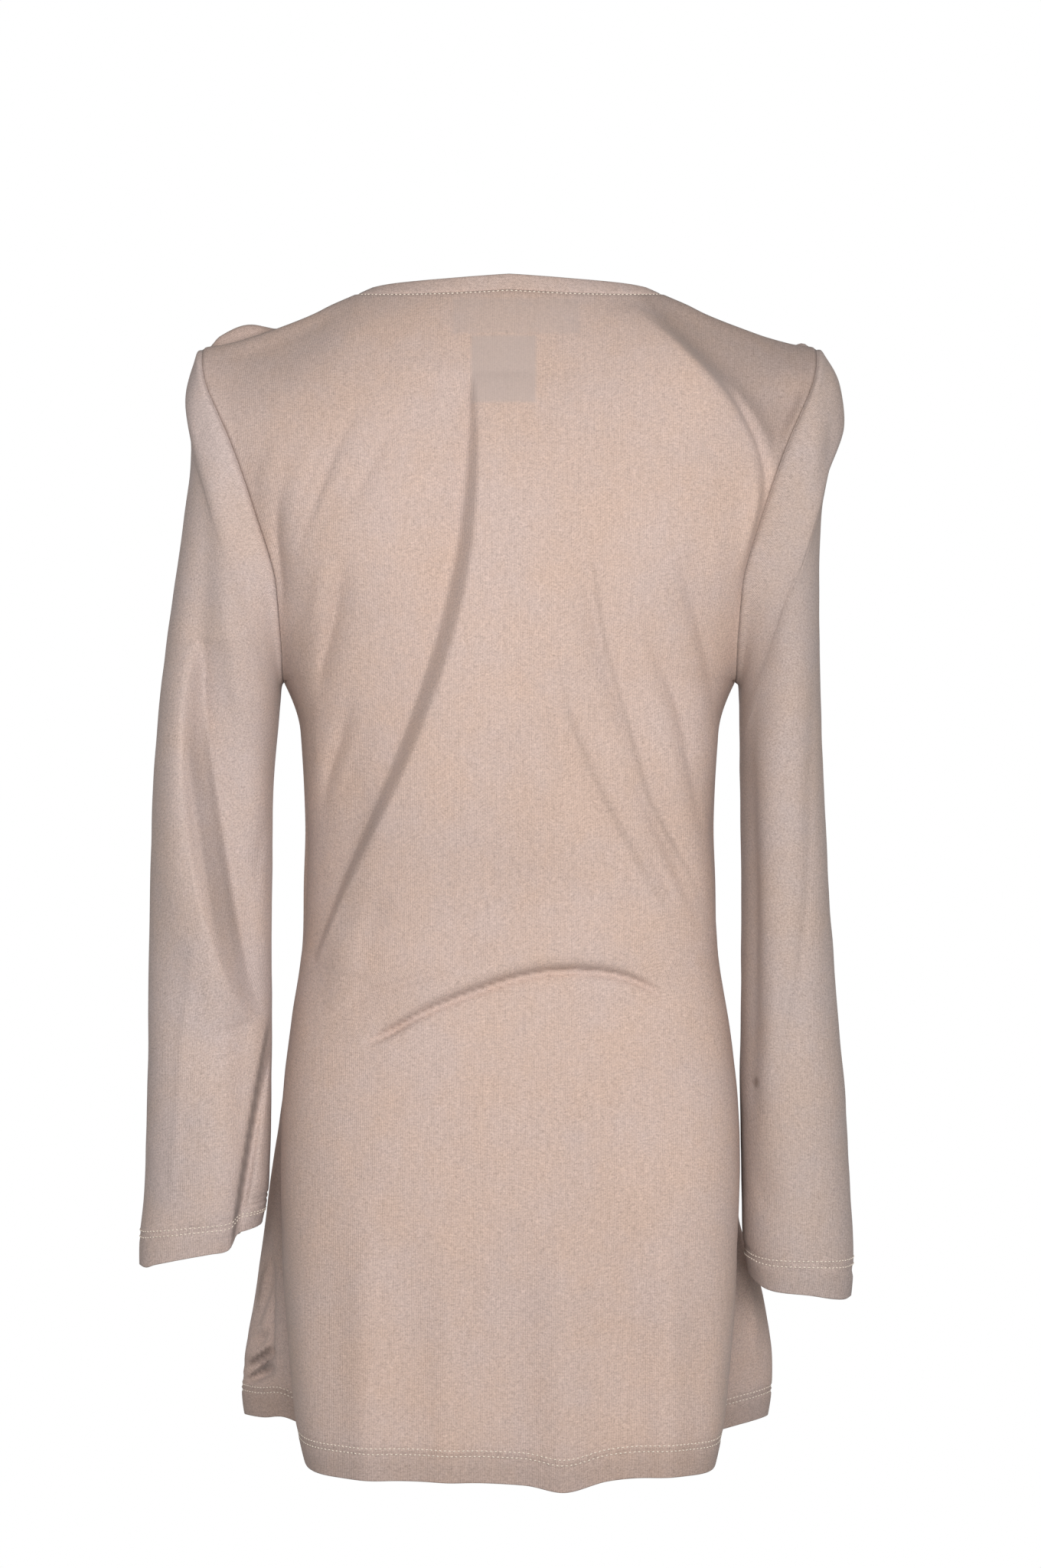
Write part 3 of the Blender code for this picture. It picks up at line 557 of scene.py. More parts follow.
# Heights are measured outwards from the smooth surface, and each fold has the points of its line, x and z
# ridges: height, width to the wearer's left, width to the right, roundness of the crest, line
# tucks: height, how fast it rises, how far it lasts, its side, softness of the crease, line
backFolds = {
    "ridges": (
        (-1.8, 4, 6, 1.6, ((106, -84), (118, -112), (132, -150), (143, -182))),
        (-3.0, 4, 5, 1.4, ((92, -76), (111, -118), (127, -160), (139, -196))),
        (-1.4, 4, 6, 1.6, ((84, -96), (97, -122), (117, -160), (128, -190))),
        (-2.4, 4, 6, 1.5, ((70, -92), (90, -130), (108, -165))),
        (1.3, 5, 6, 1.6, ((141, -98), (151, -122), (160, -148))),
        (-4.0, 4, 6, 1.4, ((137, -120), (147, -150), (147, -190), (142, -226))),
        (-5.5, 4, 8, 1.4, ((102, -176), (111, -218), (120, -250), (124, -282))),
        (2.0, 6, 7, 1.7, ((112, -172), (122, -214), (131, -244))),
        (-4.8, 4, 8, 1.4, ((98, -262), (108, -292), (118, -322), (121, -352))),
        (-1.5, 5, 7, 1.8, ((84, -278), (99, -312), (112, -346))),
        (-1.8, 10, 10, 2.0, ((80, -384), (88, -420), (104, -450))),
        (2.2, 9, 12, 2.0, ((98, -410), (108, -444), (110, -478))),
        (12.0, 46, 11, 1.5, (
            (-66, -4), (-84, -27), (-106, -51), (-128, -74), (-146, -95), (-162, -122),
        )),
        (3.0, 4, 5, 1.3, ((-136, -62), (-150, -82), (-162, -102), (-171, -124))),
        (-3.5, 2.6, 4, 1.4, (
            (-128, -62), (-146, -86), (-158, -108), (-163, -134), (-157, -178), (-149, -206),
        )),
        (5.0, 6, 10, 1.5, ((-152, -112), (-156, -142), (-150, -178), (-143, -204))),
        (-6.0, 9, 26, 1.4, (
            (-46, -160), (-49, -198), (-58, -238), (-76, -290), (-100, -346), (-118, -398), (-126, -430),
        )),
        (-4.6, 6, 12, 1.4, (
            (-78, -206), (-92, -240), (-106, -272), (-115, -312), (-123, -348), (-128, -382),
        )),
        (-4.2, 6, 13, 1.4, ((-100, -158), (-111, -194), (-121, -226), (-129, -262), (-132, -300))),
        (-3.8, 5, 10, 1.4, ((-70, -300), (-90, -346), (-108, -384), (-122, -424))),
        (-2.6, 3.0, 7, 1.3, ((-78, -350), (-94, -380), (-110, -412))),
        (-5.0, 13, 34, 1.4, ((-22, -240), (-34, -302), (-54, -342), (-78, -376), (-100, -410))),
        (-7.0, 28, 8, 1.6, ((-191, -62), (-184, -84), (-176, -106), (-168, -124))),
        (-1.2, 8, 8, 1.9, ((-122, -150), (-119, -190), (-112, -220))),
        (-7.0, 1.9, 2.1, 1.5, (
            (92, -492), (76, -483), (50, -469), (12, -454), (-18, -446), (-48, -444.5), (-72, -448),
            (-92, -457), (-103, -468),
        )),
        (-4.5, 1.9, 1.9, 1.6, ((96, -494), (85, -488), (71, -480.5), (56, -472))),
        (1.4, 2, 4, 1.4, ((-55, -424), (-78, -436), (-100, -449), (-112, -460))),
        (-2.2, 1.8, 3, 1.5, ((112, -478), (96, -464), (66, -452), (28, -441))),
        (-0.35, 1.4, 1.4, 2.0, ((-30, -520), (-30, -580))),
        (-0.3, 1.4, 1.4, 2.0, ((122, -576), (-25, -576))),
        (-0.3, 1.4, 1.4, 2.0, ((-39, -670), (-89, -670))),
    ),
    "tucks": (
        (-10.0, 12.0, 30, -1, 1.6, (
            (-62, 6), (-84, -26), (-106, -50), (-128, -73), (-146, -94), (-164, -122),
        )),
        (-8.0, 26.0, 70, 1, 6.0, ((66, 0), (100, -34), (128, -62), (150, -92), (166, -128))),
        (11.0, 6.0, 32, -1, 0.9, (
            (94, -493), (77, -483.5), (50, -469.5), (12, -454.5), (-18, -446.5), (-48, -445), (-72, -448.5),
            (-92, -457.5), (-104, -469),
        )),
        (2.4, 3.0, 18, -1, 1.2, ((112, -478), (96, -464), (66, -452), (28, -441))),
    ),
    # height, width, how far the low side and the high side last, side, line
    "ramps": (
        (17.0, 12.5, 45, 60, -1, (
            (25.5, -66), (25.5, -90), (26, -112), (29, -146), (34.5, -185), (49, -242), (71.5, -305),
            (91, -350), (110, -394), (126, -440),
        )),
    ),
    # painted shade on the yoke's upward slopes, at the main fold's low end, along the drag lines and near the
    # left side: strength, side, softness, how far it lasts, taper at its ends, line
    "paintedShades": (
        (0.24, -1, 9, 130, 20, (
            (-40, 30), (-52, 14), (-68, 0), (-88, -26), (-109, -49), (-131, -71), (-149, -92), (-166, -126),
            (-178, -150),
        )),
        (0.07, 1, 26, 130, 20, (
            (46, 26), (60, 8), (100, -32), (128, -62), (150, -92), (168, -130), (180, -154),
        )),
        (0.1, -1, 9, 24, 55, ((90, -300), (102, -350), (112, -395), (120, -440), (125, -490))),
        (0.26, -1, 5, 7, 50, (
            (-46, -170), (-50, -194), (-58, -242), (-72, -290), (-86, -338), (-112, -386), (-124, -420),
        )),
        (0.20, -1, 6, 9, 50, ((-26, -250), (-36, -290), (-57, -338), (-83, -386), (-104, -425))),
        (0.13, 1, 4, 30, 40, ((118, -210), (121, -266), (122, -300), (121, -340))),
    ),
}

frontFolds = {
    "ridges": (
        (4.0, 18, 22, 2.0, ((60, -150), (40, -240), (25, -330))),
        (4.0, 16, 20, 2.0, ((-70, -160), (-50, -260), (-30, -350))),
        (3.0, 14, 16, 2.0, ((95, -280), (75, -380), (50, -440))),
        (3.0, 14, 16, 2.0, ((-95, -280), (-80, -370), (-60, -430))),
        (-5.0, 2.8, 2.8, 1.5, ((-147, -606), (-142, -640), (-136, -672))),
        (3.4, 3, 6, 1.4, ((-150, -628), (-156, -668), (-161, -712))),
        (-4.5, 2.6, 2.6, 1.5, ((155, -625), (155.8, -722))),
        (-10.0, 3.0, 3.0, 1.6, ((176, -714), (169, -708), (156, -696.6), (151, -692))),
        (-10.0, 3.0, 3.0, 1.6, ((178, -720), (170.8, -716), (155.3, -707.5), (150, -704))),
        (-5.0, 3.0, 3.0, 1.6, ((167, -690), (162.8, -669), (153.3, -632.4))),
        (-5.0, 3.0, 3.0, 1.6, ((170, -697), (162, -688), (156, -682))),
    ),
    "tucks": (),
    "ramps": (),
    # painted shade in the side flange's wrinkles and beside its fold: strength, side, softness, how far it
    # lasts, taper at its ends, line
    "paintedShades": (
        (0.5, 1, 1.2, 4.5, 6, ((152, -693), (171, -710))),
        (0.5, 1, 1.2, 4.5, 6, ((152, -704), (172, -719))),
        (0.3, 1, 1.2, 4, 20, ((154, -632), (161, -652), (164, -680))),
    ),
}

sleeveFolds = {
    "left": {
        "ridges": (
            (2.6, 6, 10, 1.5, ((186, -180), (179, -232), (174, -278), (168, -306))),
            (-2.2, 3, 5, 1.5, ((154, -338), (162, -366), (165, -402))),
            (-1.6, 7, 7, 1.8, ((180, -104), (174, -140), (170, -180), (170, -216))),
            (-2.4, 8, 8, 1.8, ((196, -76), (198, -112), (192, -146))),
            (1.0, 2.5, 4, 1.5, ((199, -410), (209, -506), (216, -604))),
            (-9.0, 2.4, 2.8, 1.5, ((153, -478), (160, -520), (171, -590), (175, -618))),
        ),
        "ramps": (
            (30.0, 21, 26, 24, 1, (
                (194, -235), (194, -266), (192, -295), (187.5, -330), (180.5, -377), (170, -441), (160, -476),
            )),
        ),
        "tucks": ((7.0, 2.0, 30, 1, 0.8, ((151, -470), (160, -520), (171, -590), (177, -640))),),
        # painted shade of the deep fold on the sleeve's back and of the dark line beside its slit
        "paintedShades": (
            (0.2, 1, 2.5, 15, 50, (
                (194, -270), (191, -300), (186.5, -333), (179.5, -380), (171, -430), (166, -450),
            )),
            (0.08, 1, 2.0, 7, 40, (
                (192, -265), (190, -297), (186, -330), (179, -377), (169, -441), (162, -468),
            )),
            (0.45, 1, 1.2, 3.6, 20, ((152, -472), (160, -520), (171, -590), (177, -632))),
        ),
    },
    "right": {
        "ridges": (
            (-2.2, 3.5, 6, 1.5, ((-195, -240), (-190, -331), (-188, -400), (-183, -450), (-173, -520))),
            (-3.0, 8, 9, 1.8, ((-155, -556), (-160, -580), (-167, -606))),
            (2.5, 8, 12, 1.8, ((-194, -66), (-196, -104), (-194, -140))),
            (-3.2, 5, 7, 1.6, ((-208, -84), (-203, -116), (-192, -146))),
            (1.8, 5, 8, 1.6, ((-170, -420), (-166, -480), (-160, -540))),
        ),
        "ramps": (),
        "tucks": (),
        # painted shade on the sleeve's inner side, turned toward the body
        "paintedShades": ((0.02, 1, 9, 40, 60, ((-162, -200), (-162, -300), (-161, -400), (-160, -520))),),
    },
}

neckBand = {
    "columns": 70,
    "leanBack": 0.22,
    "leanSide": 0.9,
    "leanFront": 0.35,
    # height above the seam, distance out from the seam's surface
    "section": (
        (0.2, -0.1), (0.8, 0.35), (2.0, 0.65), (4.5, 0.75), (7.5, 0.7), (9.6, 0.5), (10.6, 0.1),
        (11.0, -0.55), (10.6, -1.2), (9.6, -1.55), (6.5, -1.7), (3.5, -1.75), (0.6, -1.7),
    ),
}

labels = {
    # left, right, top, bottom
    "neckLabel": (-45.0, 36.0, -15.0, -39.0),
    "sizeTag": (-17.0, 24.0, -40.5, -85.0),
    "gap": 1.9,
    "thickness": 0.3,
    "columns": 26,
    "rows": 18,
}

stitching = {
    "pitch": 2.9,
    "halfSize": (1.05, 0.42, 0.4),   # along the row, across it and out of the cloth
    "slant": 14,             # how far each stitch turns from the row, in degrees
    "lift": 0.12,
    "neckFromSeam": 1.9,
    "hemRows": (15.6, 19.0),
    "sink": 0.9,
    "sinkWidth": 0.9,
}

studio = {
    "roomSides": 0.74,
    "roomTop": 0.08,
    "floorHeight": -3.0,
    "floorHalf": 8.0,
    "floorColour": (0.62, 0.62, 0.62),
    "keyPlace": (-0.16, 1.5, -0.11),
    "keyAim": (0, 0.05, -0.25),
    "lampWidth": 1.3,
    "lampHeight": 0.6,
    "keyPower": 23,
    "frontPlace": (0.0, -1.6, 0.15),
    "frontAim": (0, -0.05, -0.3),
    "frontPower": 13,
    "sensor": 24.0,
    "lens": 53.71,
    "cameraPlace": (-0.0072, 2.290, -0.3258),
}

looks = {
    "back": (0.485, 0.362, 0.306),
    "front": (0.480, 0.358, 0.306),
    "leftSleeve": (0.488, 0.382, 0.338),
    "rightSleeve": (0.425, 0.332, 0.290),
    "band": (0.475, 0.362, 0.312),
    "thread": (0.74, 0.65, 0.55),
    "tape": (0.72, 0.66, 0.58),
    "mark": (0.16, 0.105, 0.08),
    "clothRoughness": 0.88,
    "threadRoughness": 0.7,
    "tapeRoughness": 0.6,
    "tapeRib": 0.0009,
    "sheen": 0.08,
    # where the turned-up layer ends, measured up the knit from its raw edge, and how two layers look; the
    # body's hem tone is also painted shade of the light falling off toward the hem
    "doubled": 0.0432,
    "hemToneAndShade": 0.85,
    "cuffTone": 0.94,
    # the seam shade below is painted shade in the grooves of the sewn seams
    "seamShade": 0.4,        # how much darker a panel is at its sewn sides
}


def addNode(tree, kind, settings=(), **values):
    # A shader node, its settings, and what its named sockets hold or are linked from
    node = tree.nodes.new("ShaderNode" + kind)
    for name, value in settings:
        setattr(node, name, value)
    for name, value in values.items():
        key = int(name[1:]) if name[0] == "i" and name[1:].isdigit() else name.replace("_", " ")
        if isinstance(value, bpy.types.NodeSocket):
            tree.links.new(value, node.inputs[key])
        else:
            node.inputs[key].default_value = value
    return node


def arithmetic(tree, operation, *values):
    return addNode(
        tree, "Math", [("operation", operation)], **{f"i{k}": v for k, v in enumerate(values)}
    ).outputs[0]


def newGroup(name, inputs, outputs):
    group = bpy.data.node_groups.new(name, "ShaderNodeTree")
    for title, kind in inputs:
        group.interface.new_socket(title, in_out="INPUT", socket_type=kind)
    for title, kind in outputs:
        group.interface.new_socket(title, in_out="OUTPUT", socket_type=kind)
    return group, group.nodes.new("NodeGroupInput"), group.nodes.new("NodeGroupOutput")


# Spacings are in metres along the knit, and each tone is how much that part of the pattern changes the colour
grain = {
    "wale": 0.0014,
    "course": 0.0011,
    "yarnScale": (900.0, 40.0, 1.0),
    "dashScale": (260.0, 1000.0, 1.0),
    "fleckScale": 1000.0,
    "broadScale": 9.0,
    "hueScale": 16.0,
    "hueFrom": 0.38,
    "hueTo": 0.62,
    "baseTone": 0.245,
    "waleTone": 0.05,
    "yarnTone": 0.16,
    "dashTone": 0.52,
    "fleckTone": 0.72,
    "broadTone": 0.11,
    "courseRelief": 0.25,
    "bumpStrength": 0.5,
    "bumpDistance": 0.00012,
    "warm": (1.01, 0.985, 0.96),
    "cool": (0.98, 1.0, 1.04),
    "showThrough": (0.84, 0.90, 0.96),
}


def makeKnitGroup():
    # Wales and courses of a fine jersey on the knit's own UV, with the yarn's uneven tone
    results = (("Tone", "NodeSocketFloat"), ("Relief", "NodeSocketFloat"), ("Hue", "NodeSocketFloat"))
    group, given, out = newGroup("fineJersey", (("Hem Tone", "NodeSocketFloat"),), results)
    doubled = looks["doubled"]
    uv = addNode(group, "UVMap", [("uv_map", "knit")]).outputs["UV"]
    place = addNode(group, "SeparateXYZ", Vector=uv)
    turn = 2 * math.pi
    acrossTurns = arithmetic(group, "MULTIPLY", place.outputs["X"], turn / grain["wale"])
    wale = arithmetic(group, "SINE", acrossTurns)
    upTurns = arithmetic(group, "MULTIPLY", place.outputs["Y"], turn / grain["course"])
    course = arithmetic(group, "SINE", upTurns)
    streaks = addNode(group, "Mapping", Vector=uv, Scale=grain["yarnScale"]).outputs["Vector"]
    yarn = addNode(group, "TexNoise", Vector=streaks, Scale=1.0, Detail=3.0).outputs["Fac"]
    rows = addNode(group, "Mapping", Vector=uv, Scale=grain["dashScale"]).outputs["Vector"]
    dashes = addNode(group, "TexNoise", Vector=rows, Scale=1.0, Detail=2.0).outputs["Fac"]
    ownPlace = addNode(group, "TexCoord").outputs["Object"]
    fleck = addNode(group, "TexNoise", Vector=ownPlace, Scale=grain["fleckScale"], Detail=1.0).outputs["Fac"]
    broad = addNode(group, "TexNoise", Vector=ownPlace, Scale=grain["broadScale"], Detail=3.0).outputs["Fac"]
    tone = arithmetic(group, "MULTIPLY_ADD", wale, grain["waleTone"], grain["baseTone"])
    tone = arithmetic(group, "MULTIPLY_ADD", yarn, grain["yarnTone"], tone)
    tone = arithmetic(group, "MULTIPLY_ADD", dashes, grain["dashTone"], tone)
    tone = arithmetic(group, "MULTIPLY_ADD", fleck, grain["fleckTone"], tone)
    tone = arithmetic(group, "MULTIPLY_ADD", broad, grain["broadTone"], tone)
    # Below the turned-up layer's end the knit is darker: the doubled layers' tone, and on the body's hem also
    # painted shade
    hem = addNode(
        group, "MapRange", Value=place.outputs["Y"], From_Min=doubled - 0.001, From_Max=doubled + 0.0008,
        To_Min=given.outputs["Hem Tone"], To_Max=1.0
    )
    tone = arithmetic(group, "MULTIPLY", tone, hem.outputs["Result"])
    # The painted shade kept on the cloth's points darkens the knit's tone
    shade = addNode(group, "Attribute", [("attribute_name", "shade")]).outputs["Fac"]
    tone = arithmetic(group, "MULTIPLY", tone, arithmetic(group, "SUBTRACT", 1.0, shade))
    relief = arithmetic(group, "ADD", wale, yarn)
    relief = arithmetic(group, "MULTIPLY_ADD", course, grain["courseRelief"], relief)
    patches = addNode(
        group, "TexNoise", Vector=ownPlace, Scale=grain["hueScale"], Detail=6.0, Roughness=0.7
    ).outputs["Fac"]
    hue = addNode(
        group, "MapRange", Value=patches, From_Min=grain["hueFrom"], From_Max=grain["hueTo"]
    ).outputs["Result"]
    group.links.new(hue, out.inputs["Hue"])
    group.links.new(tone, out.inputs["Tone"])
    group.links.new(relief, out.inputs["Relief"])
    return group


def makeSpotGroup():
    # A soft round mark at a place on the cloth
    sockets = (("Centre", "NodeSocketVector"), ("Radius", "NodeSocketFloat"))
    group, given, out = newGroup("softSpot", sockets, (("Mask", "NodeSocketFloat"),))
    ownPlace = addNode(group, "TexCoord").outputs["Object"]
    wander = addNode(group, "TexNoise", Vector=ownPlace, Scale=260.0).outputs["Fac"]
    away = addNode(group, "VectorMath", [("operation", "DISTANCE")], i0=ownPlace, i1=given.outputs["Centre"])
    uneven = arithmetic(group, "MULTIPLY_ADD", wander, 0.8, 0.7)
    reach = arithmetic(group, "MULTIPLY", given.outputs["Radius"], uneven)
    share = arithmetic(group, "DIVIDE", away.outputs["Value"], reach)
    smooth = [("interpolation_type", "SMOOTHSTEP")]
    mask = addNode(group, "MapRange", smooth, Value=share, To_Min=1.0, To_Max=0.0)
    group.links.new(mask.outputs["Result"], out.inputs["Mask"])
    return group


def makeBoxGroup():
    # A soft-edged upright rectangle seen through the cloth
    sockets = (("Middle", "NodeSocketVector"), ("Half Size", "NodeSocketVector"))
    group, given, out = newGroup("showThrough", sockets, (("Mask", "NodeSocketFloat"),))
    ownPlace = addNode(group, "TexCoord").outputs["Object"]
    minus = [("operation", "SUBTRACT")]
    away = addNode(group, "VectorMath", minus, i0=ownPlace, i1=given.outputs["Middle"])
    away = addNode(group, "VectorMath", [("operation", "ABSOLUTE")], i0=away.outputs[0])
    inside = addNode(group, "VectorMath", minus, i0=given.outputs["Half Size"], i1=away.outputs[0])
    axes = addNode(group, "SeparateXYZ", Vector=inside.outputs[0])
    nearest = arithmetic(group, "MINIMUM", axes.outputs["X"], axes.outputs["Z"])
    mask = addNode(group, "MapRange", Value=nearest, From_Min=-0.0012, From_Max=0.0012)
    group.links.new(mask.outputs["Result"], out.inputs["Mask"])
    return group


def groupNode(tree, group, **values):
    node = tree.nodes.new("ShaderNodeGroup")
    node.node_tree = group
    for name, value in values.items():
        node.inputs[name.replace("_", " ")].default_value = value
    return node


def mixColour(tree, amount, first, second):
    return addNode(tree, "Mix", [("data_type", "RGBA")], i0=amount, i6=first, i7=second).outputs[2]


def plainMaterial(name, colour, roughness):
    made = bpy.data.materials.new(name)
    made.use_nodes = True
    shader = made.node_tree.nodes["Principled BSDF"]
    shader.inputs["Base Color"].default_value = (*colour, 1.0)
    shader.inputs["Roughness"].default_value = roughness
    shader.inputs["Sheen Weight"].default_value = looks["sheen"]
    return made, shader


def knitMaterial(name, colour, hemToneAndShade, spots=(), boxes=()):
    # Each spot has a centre, a radius and a strength, each box its left, right, top and bottom and a strength
    made, shader = plainMaterial(name, colour, looks["clothRoughness"])
    tree = made.node_tree
    knit = groupNode(tree, knitGroup, Hem_Tone=hemToneAndShade)
    warm, cool, grey = (
        (*(channel * share for channel, share in zip(colour, grain[key])), 1.0)
        for key in ("warm", "cool", "showThrough")
    )
    mixed = mixColour(tree, knit.outputs["Hue"], warm, cool)
    tinted = addNode(tree, "VectorMath", [("operation", "SCALE")], i0=mixed, Scale=knit.outputs["Tone"])
    paint = tinted.outputs[0]
    for centre, radius, strength in spots:
        spot = groupNode(tree, spotGroup, Centre=centre, Radius=radius)
        amount = arithmetic(tree, "MULTIPLY", spot.outputs["Mask"], strength)
        paint = mixColour(tree, amount, paint, (*looks["mark"], 1.0))
    for (left, right, top, bottom), strength in boxes:
        middle = ((left + right) / 2 * millimetre, 0, (top + bottom) / 2 * millimetre)
        half = ((right - left) / 2 * millimetre, 1, (top - bottom) / 2 * millimetre)
        box = groupNode(tree, boxGroup, Middle=middle, Half_Size=half)
        amount = arithmetic(tree, "MULTIPLY", box.outputs["Mask"], strength)
        paint = mixColour(tree, amount, paint, grey)
    tree.links.new(paint, shader.inputs["Base Color"])
    bump = addNode(
        tree, "Bump", Strength=grain["bumpStrength"], Distance=grain["bumpDistance"],
        Height=knit.outputs["Relief"]
    )
    tree.links.new(bump.outputs["Normal"], shader.inputs["Normal"])
    return made


def tapeMaterial(name, colour):
    # A woven tape: fine diagonal ribs
    made, shader = plainMaterial(name, colour, looks["tapeRoughness"])
    tree = made.node_tree
    axes = addNode(tree, "SeparateXYZ", Vector=addNode(tree, "TexCoord").outputs["Object"])
    slant = arithmetic(tree, "ADD", axes.outputs["X"], axes.outputs["Z"])
    rib = arithmetic(tree, "SINE", arithmetic(tree, "MULTIPLY", slant, 2 * math.pi / looks["tapeRib"]))
    tone = arithmetic(tree, "MULTIPLY_ADD", rib, 0.05, 0.95)
    tinted = addNode(tree, "VectorMath", [("operation", "SCALE")], i0=tuple(colour), Scale=tone)
    tree.links.new(tinted.outputs[0], shader.inputs["Base Color"])
    bump = addNode(tree, "Bump", Strength=0.3, Distance=0.0001, Height=rib)
    tree.links.new(bump.outputs["Normal"], shader.inputs["Normal"])
    return made


def stitchRows(name, rows):
    # Thread: short stitches end to end along each row of points, with a small gap between them
    made = bmesh.new()
    for path, outward in rows:
        run = np.concatenate([[0], np.cumsum(np.linalg.norm(np.diff(path, axis=0), axis=1))])
        count = max(2, int(run[-1] / stitching["pitch"]))
        for k in range(count):
            at = (k + 0.5) * run[-1] / count
            centre, behind, ahead, out = (
                np.array([np.interp(at + step, run, values[:, axis]) for axis in range(3)])
                for step, values in ((0, path), (-1, path), (1, path), (0, outward))
            )
            along = Vector(ahead - behind).normalized()
            up = (Vector(out) - along * along.dot(Vector(out))).normalized()
            side = along.cross(up)
            slant = Matrix.Rotation(math.radians(stitching["slant"] * (1 if k % 2 else -1)), 4, "Z")
            turn = Matrix((along, side, up)).transposed().to_4x4() @ slant
            size = Matrix.Diagonal((*stitching["halfSize"], 1))
            place = Matrix.Translation(Vector(centre) + up * stitching["lift"])
            bmesh.ops.create_icosphere(
                made, subdivisions=1, radius=1.0, matrix=Matrix.Scale(millimetre, 4) @ place @ turn @ size
            )
    mesh = bpy.data.meshes.new(name)
    made.to_mesh(mesh)
    made.free()
    mesh.shade_smooth()
    return placed(name, mesh, threadMaterial)


def hemSink(fromEdge):
    # The thread's grooves, and the slight turning in of the hem's lowest part
    grooves = sum(bell(fromEdge - row, stitching["sinkWidth"]) for row in stitching["hemRows"])
    curl = cloth["curl"] * np.clip(1 - fromEdge / cloth["curlHeight"], 0, 1) ** 2
    return stitching["sink"] * grooves + curl


def hemStitches(points, normals):
    # The two rows of the twin needle, along the rows of points nearest to them
    fromEdge = np.array(cloth["hemRows"])
    rows = []
    for height in stitching["hemRows"]:
        k = int(np.argmin(np.abs(fromEdge - height)))
        rows.append((points[k], normals[k]))
    return rows


def allFolds(points, folds):
    x = points[:, :, 0]
    z = points[:, :, 2]
    return foldHeights(x, z, folds["ridges"], folds["tucks"]) + rampHeights(x, z, folds["ramps"])


def doubledEdge(points, normals):
    # The cloth with its hem turned up, and the runs across it from its middle
    edgeRows = sum(1 for row in cloth["hemRows"] if row < stitching["hemRows"][-1] + 2)
    full = turnUp(points, normals, edgeRows)
    runs = runsAlong(full, 1)
    return full, runs - runs[:, runs.shape[1] // 2][:, None]


def makePanel(name, panel, folds, seed, material):
    flip = panel["isBack"]
    across, points = panelGrid(panel)
    normals = normalsOf(points, flip)
    sideRun = runsAlong(points, 1)
    upRun = runsAlong(points, 0)
    toSide = np.minimum(sideRun, sideRun[:, -1:] - sideRun)
    toTop = upRun[-1] - upRun
    seams = np.minimum(toSide, toTop)
    lift = allFolds(points, folds)
    for middle, half, rise, start in panel["flutes"]:
        lift += rise * bell(points[:, :, 0] - middle, half) * ease((start - points[:, :, 2]) / 90)
    held = ease(toTop / cloth["panelTopHold"]) * ease(toSide / cloth["panelSideHold"])
    lift = (lift + unevenness(points, seed)) * held
    backward = normals + np.array([0, 1 if panel["isBack"] else 0, 0])
    backward = backward / np.linalg.norm(backward, axis=2, keepdims=True)
    points = points + backward * lift[:, :, None] + normals * (seamDip(seams) - hemSink(upRun))[:, :, None]
    normals = normalsOf(points, flip)
    full, runs = doubledEdge(points, normals)
    shade = paintedShadeTones(full[:, :, 0], full[:, :, 2], folds["paintedShades"])
    # Painted shade in the grooves along the panel's sewn sides
    sewn = np.minimum(runs - runs[:, :1], runs[:, -1:] - runs)
    shade += looks["seamShade"] * bell(sewn, cloth["seamShadeWidth"])
    piece = clothMesh(name, full, runs, runsAlong(full, 0), flip, material, shade)
    return piece, points, normals, upRun


def makeSleeve(name, side, seed, material):
    flip = side < 0
    _, angles, points = sleeveGrid(side)
    normals = normalsOf(points, flip)
    downRun = runsAlong(points, 0)
    folds = sleeveFolds["left" if side > 0 else "right"]
    lift = allFolds(points, folds)
    behind = ease((np.sin(angles) + 0.15) / 0.5)[None, :]
    wander = unevenness(points, seed)
    wander[:, -1] = wander[:, 0]
    held = ease(downRun / cloth["sleeveSeamHold"])
    fromEdge = downRun[-1] - downRun
    points = points + normals * (wander * held + seamDip(downRun) - hemSink(fromEdge))[:, :, None]
    points[:, :, 1] += lift * behind * held
    points[:, -1] = points[:, 0]
    points = points[::-1]
    normals = normalsOf(points, not flip)
    full, runs = doubledEdge(points, normals)
    shade = paintedShadeTones(full[:, :, 0], full[:, :, 2], folds["paintedShades"]) * ease(np.sin(angles) / 0.3)[None, :]
    piece = clothMesh(name, full, runs, runsAlong(full, 0), not flip, material, shade)
    return piece, points, normals


def makeBand(name, material):
    # The neck band: a folded strip whose section stands on the neck seam, once round
    half = np.linspace(-body["neckShare"], body["neckShare"], neckBand["columns"] + 1)
    ring = []
    for panel, places in ((backPanel, half), (frontPanel, half[::-1][1:])):
        seam = np.stack(aboveArmpit(panel, places, 1.0), 1)
        arch = np.cos(math.pi / 2 * np.abs(places) / body["neckShare"])
        ownLean = neckBand["leanBack"] if panel["isBack"] else neckBand["leanFront"]
        lean = neckBand["leanSide"] + (ownLean - neckBand["leanSide"]) * arch
        sideways = -places / body["neckShare"] * np.sqrt(1 - arch)
        inward = np.stack([sideways, arch * (-1 if panel["isBack"] else 1)], 1)
        inward = inward / np.linalg.norm(inward, axis=1, keepdims=True)
        way = np.column_stack([inward * lean[:, None], np.sqrt(1 - lean**2)])
        ring.append(np.stack([seam, way], 1))
    ring = np.concatenate(ring)
    seam = ring[:, 0]
    way = ring[:, 1]
    tangent = np.gradient(seam, axis=0)
    tangent[0] = tangent[-1] = seam[1] - seam[-2]
    tangent = tangent / np.linalg.norm(tangent, axis=1, keepdims=True)
    outward = np.cross(way, tangent)
    outward = outward / np.linalg.norm(outward, axis=1, keepdims=True)
    rows = np.array([seam + way * up + outward * out for up, out in neckBand["section"]])
    runs = runsAlong(rows, 1)
    return clothMesh(name, rows, runs, runsAlong(rows, 0), True, material)


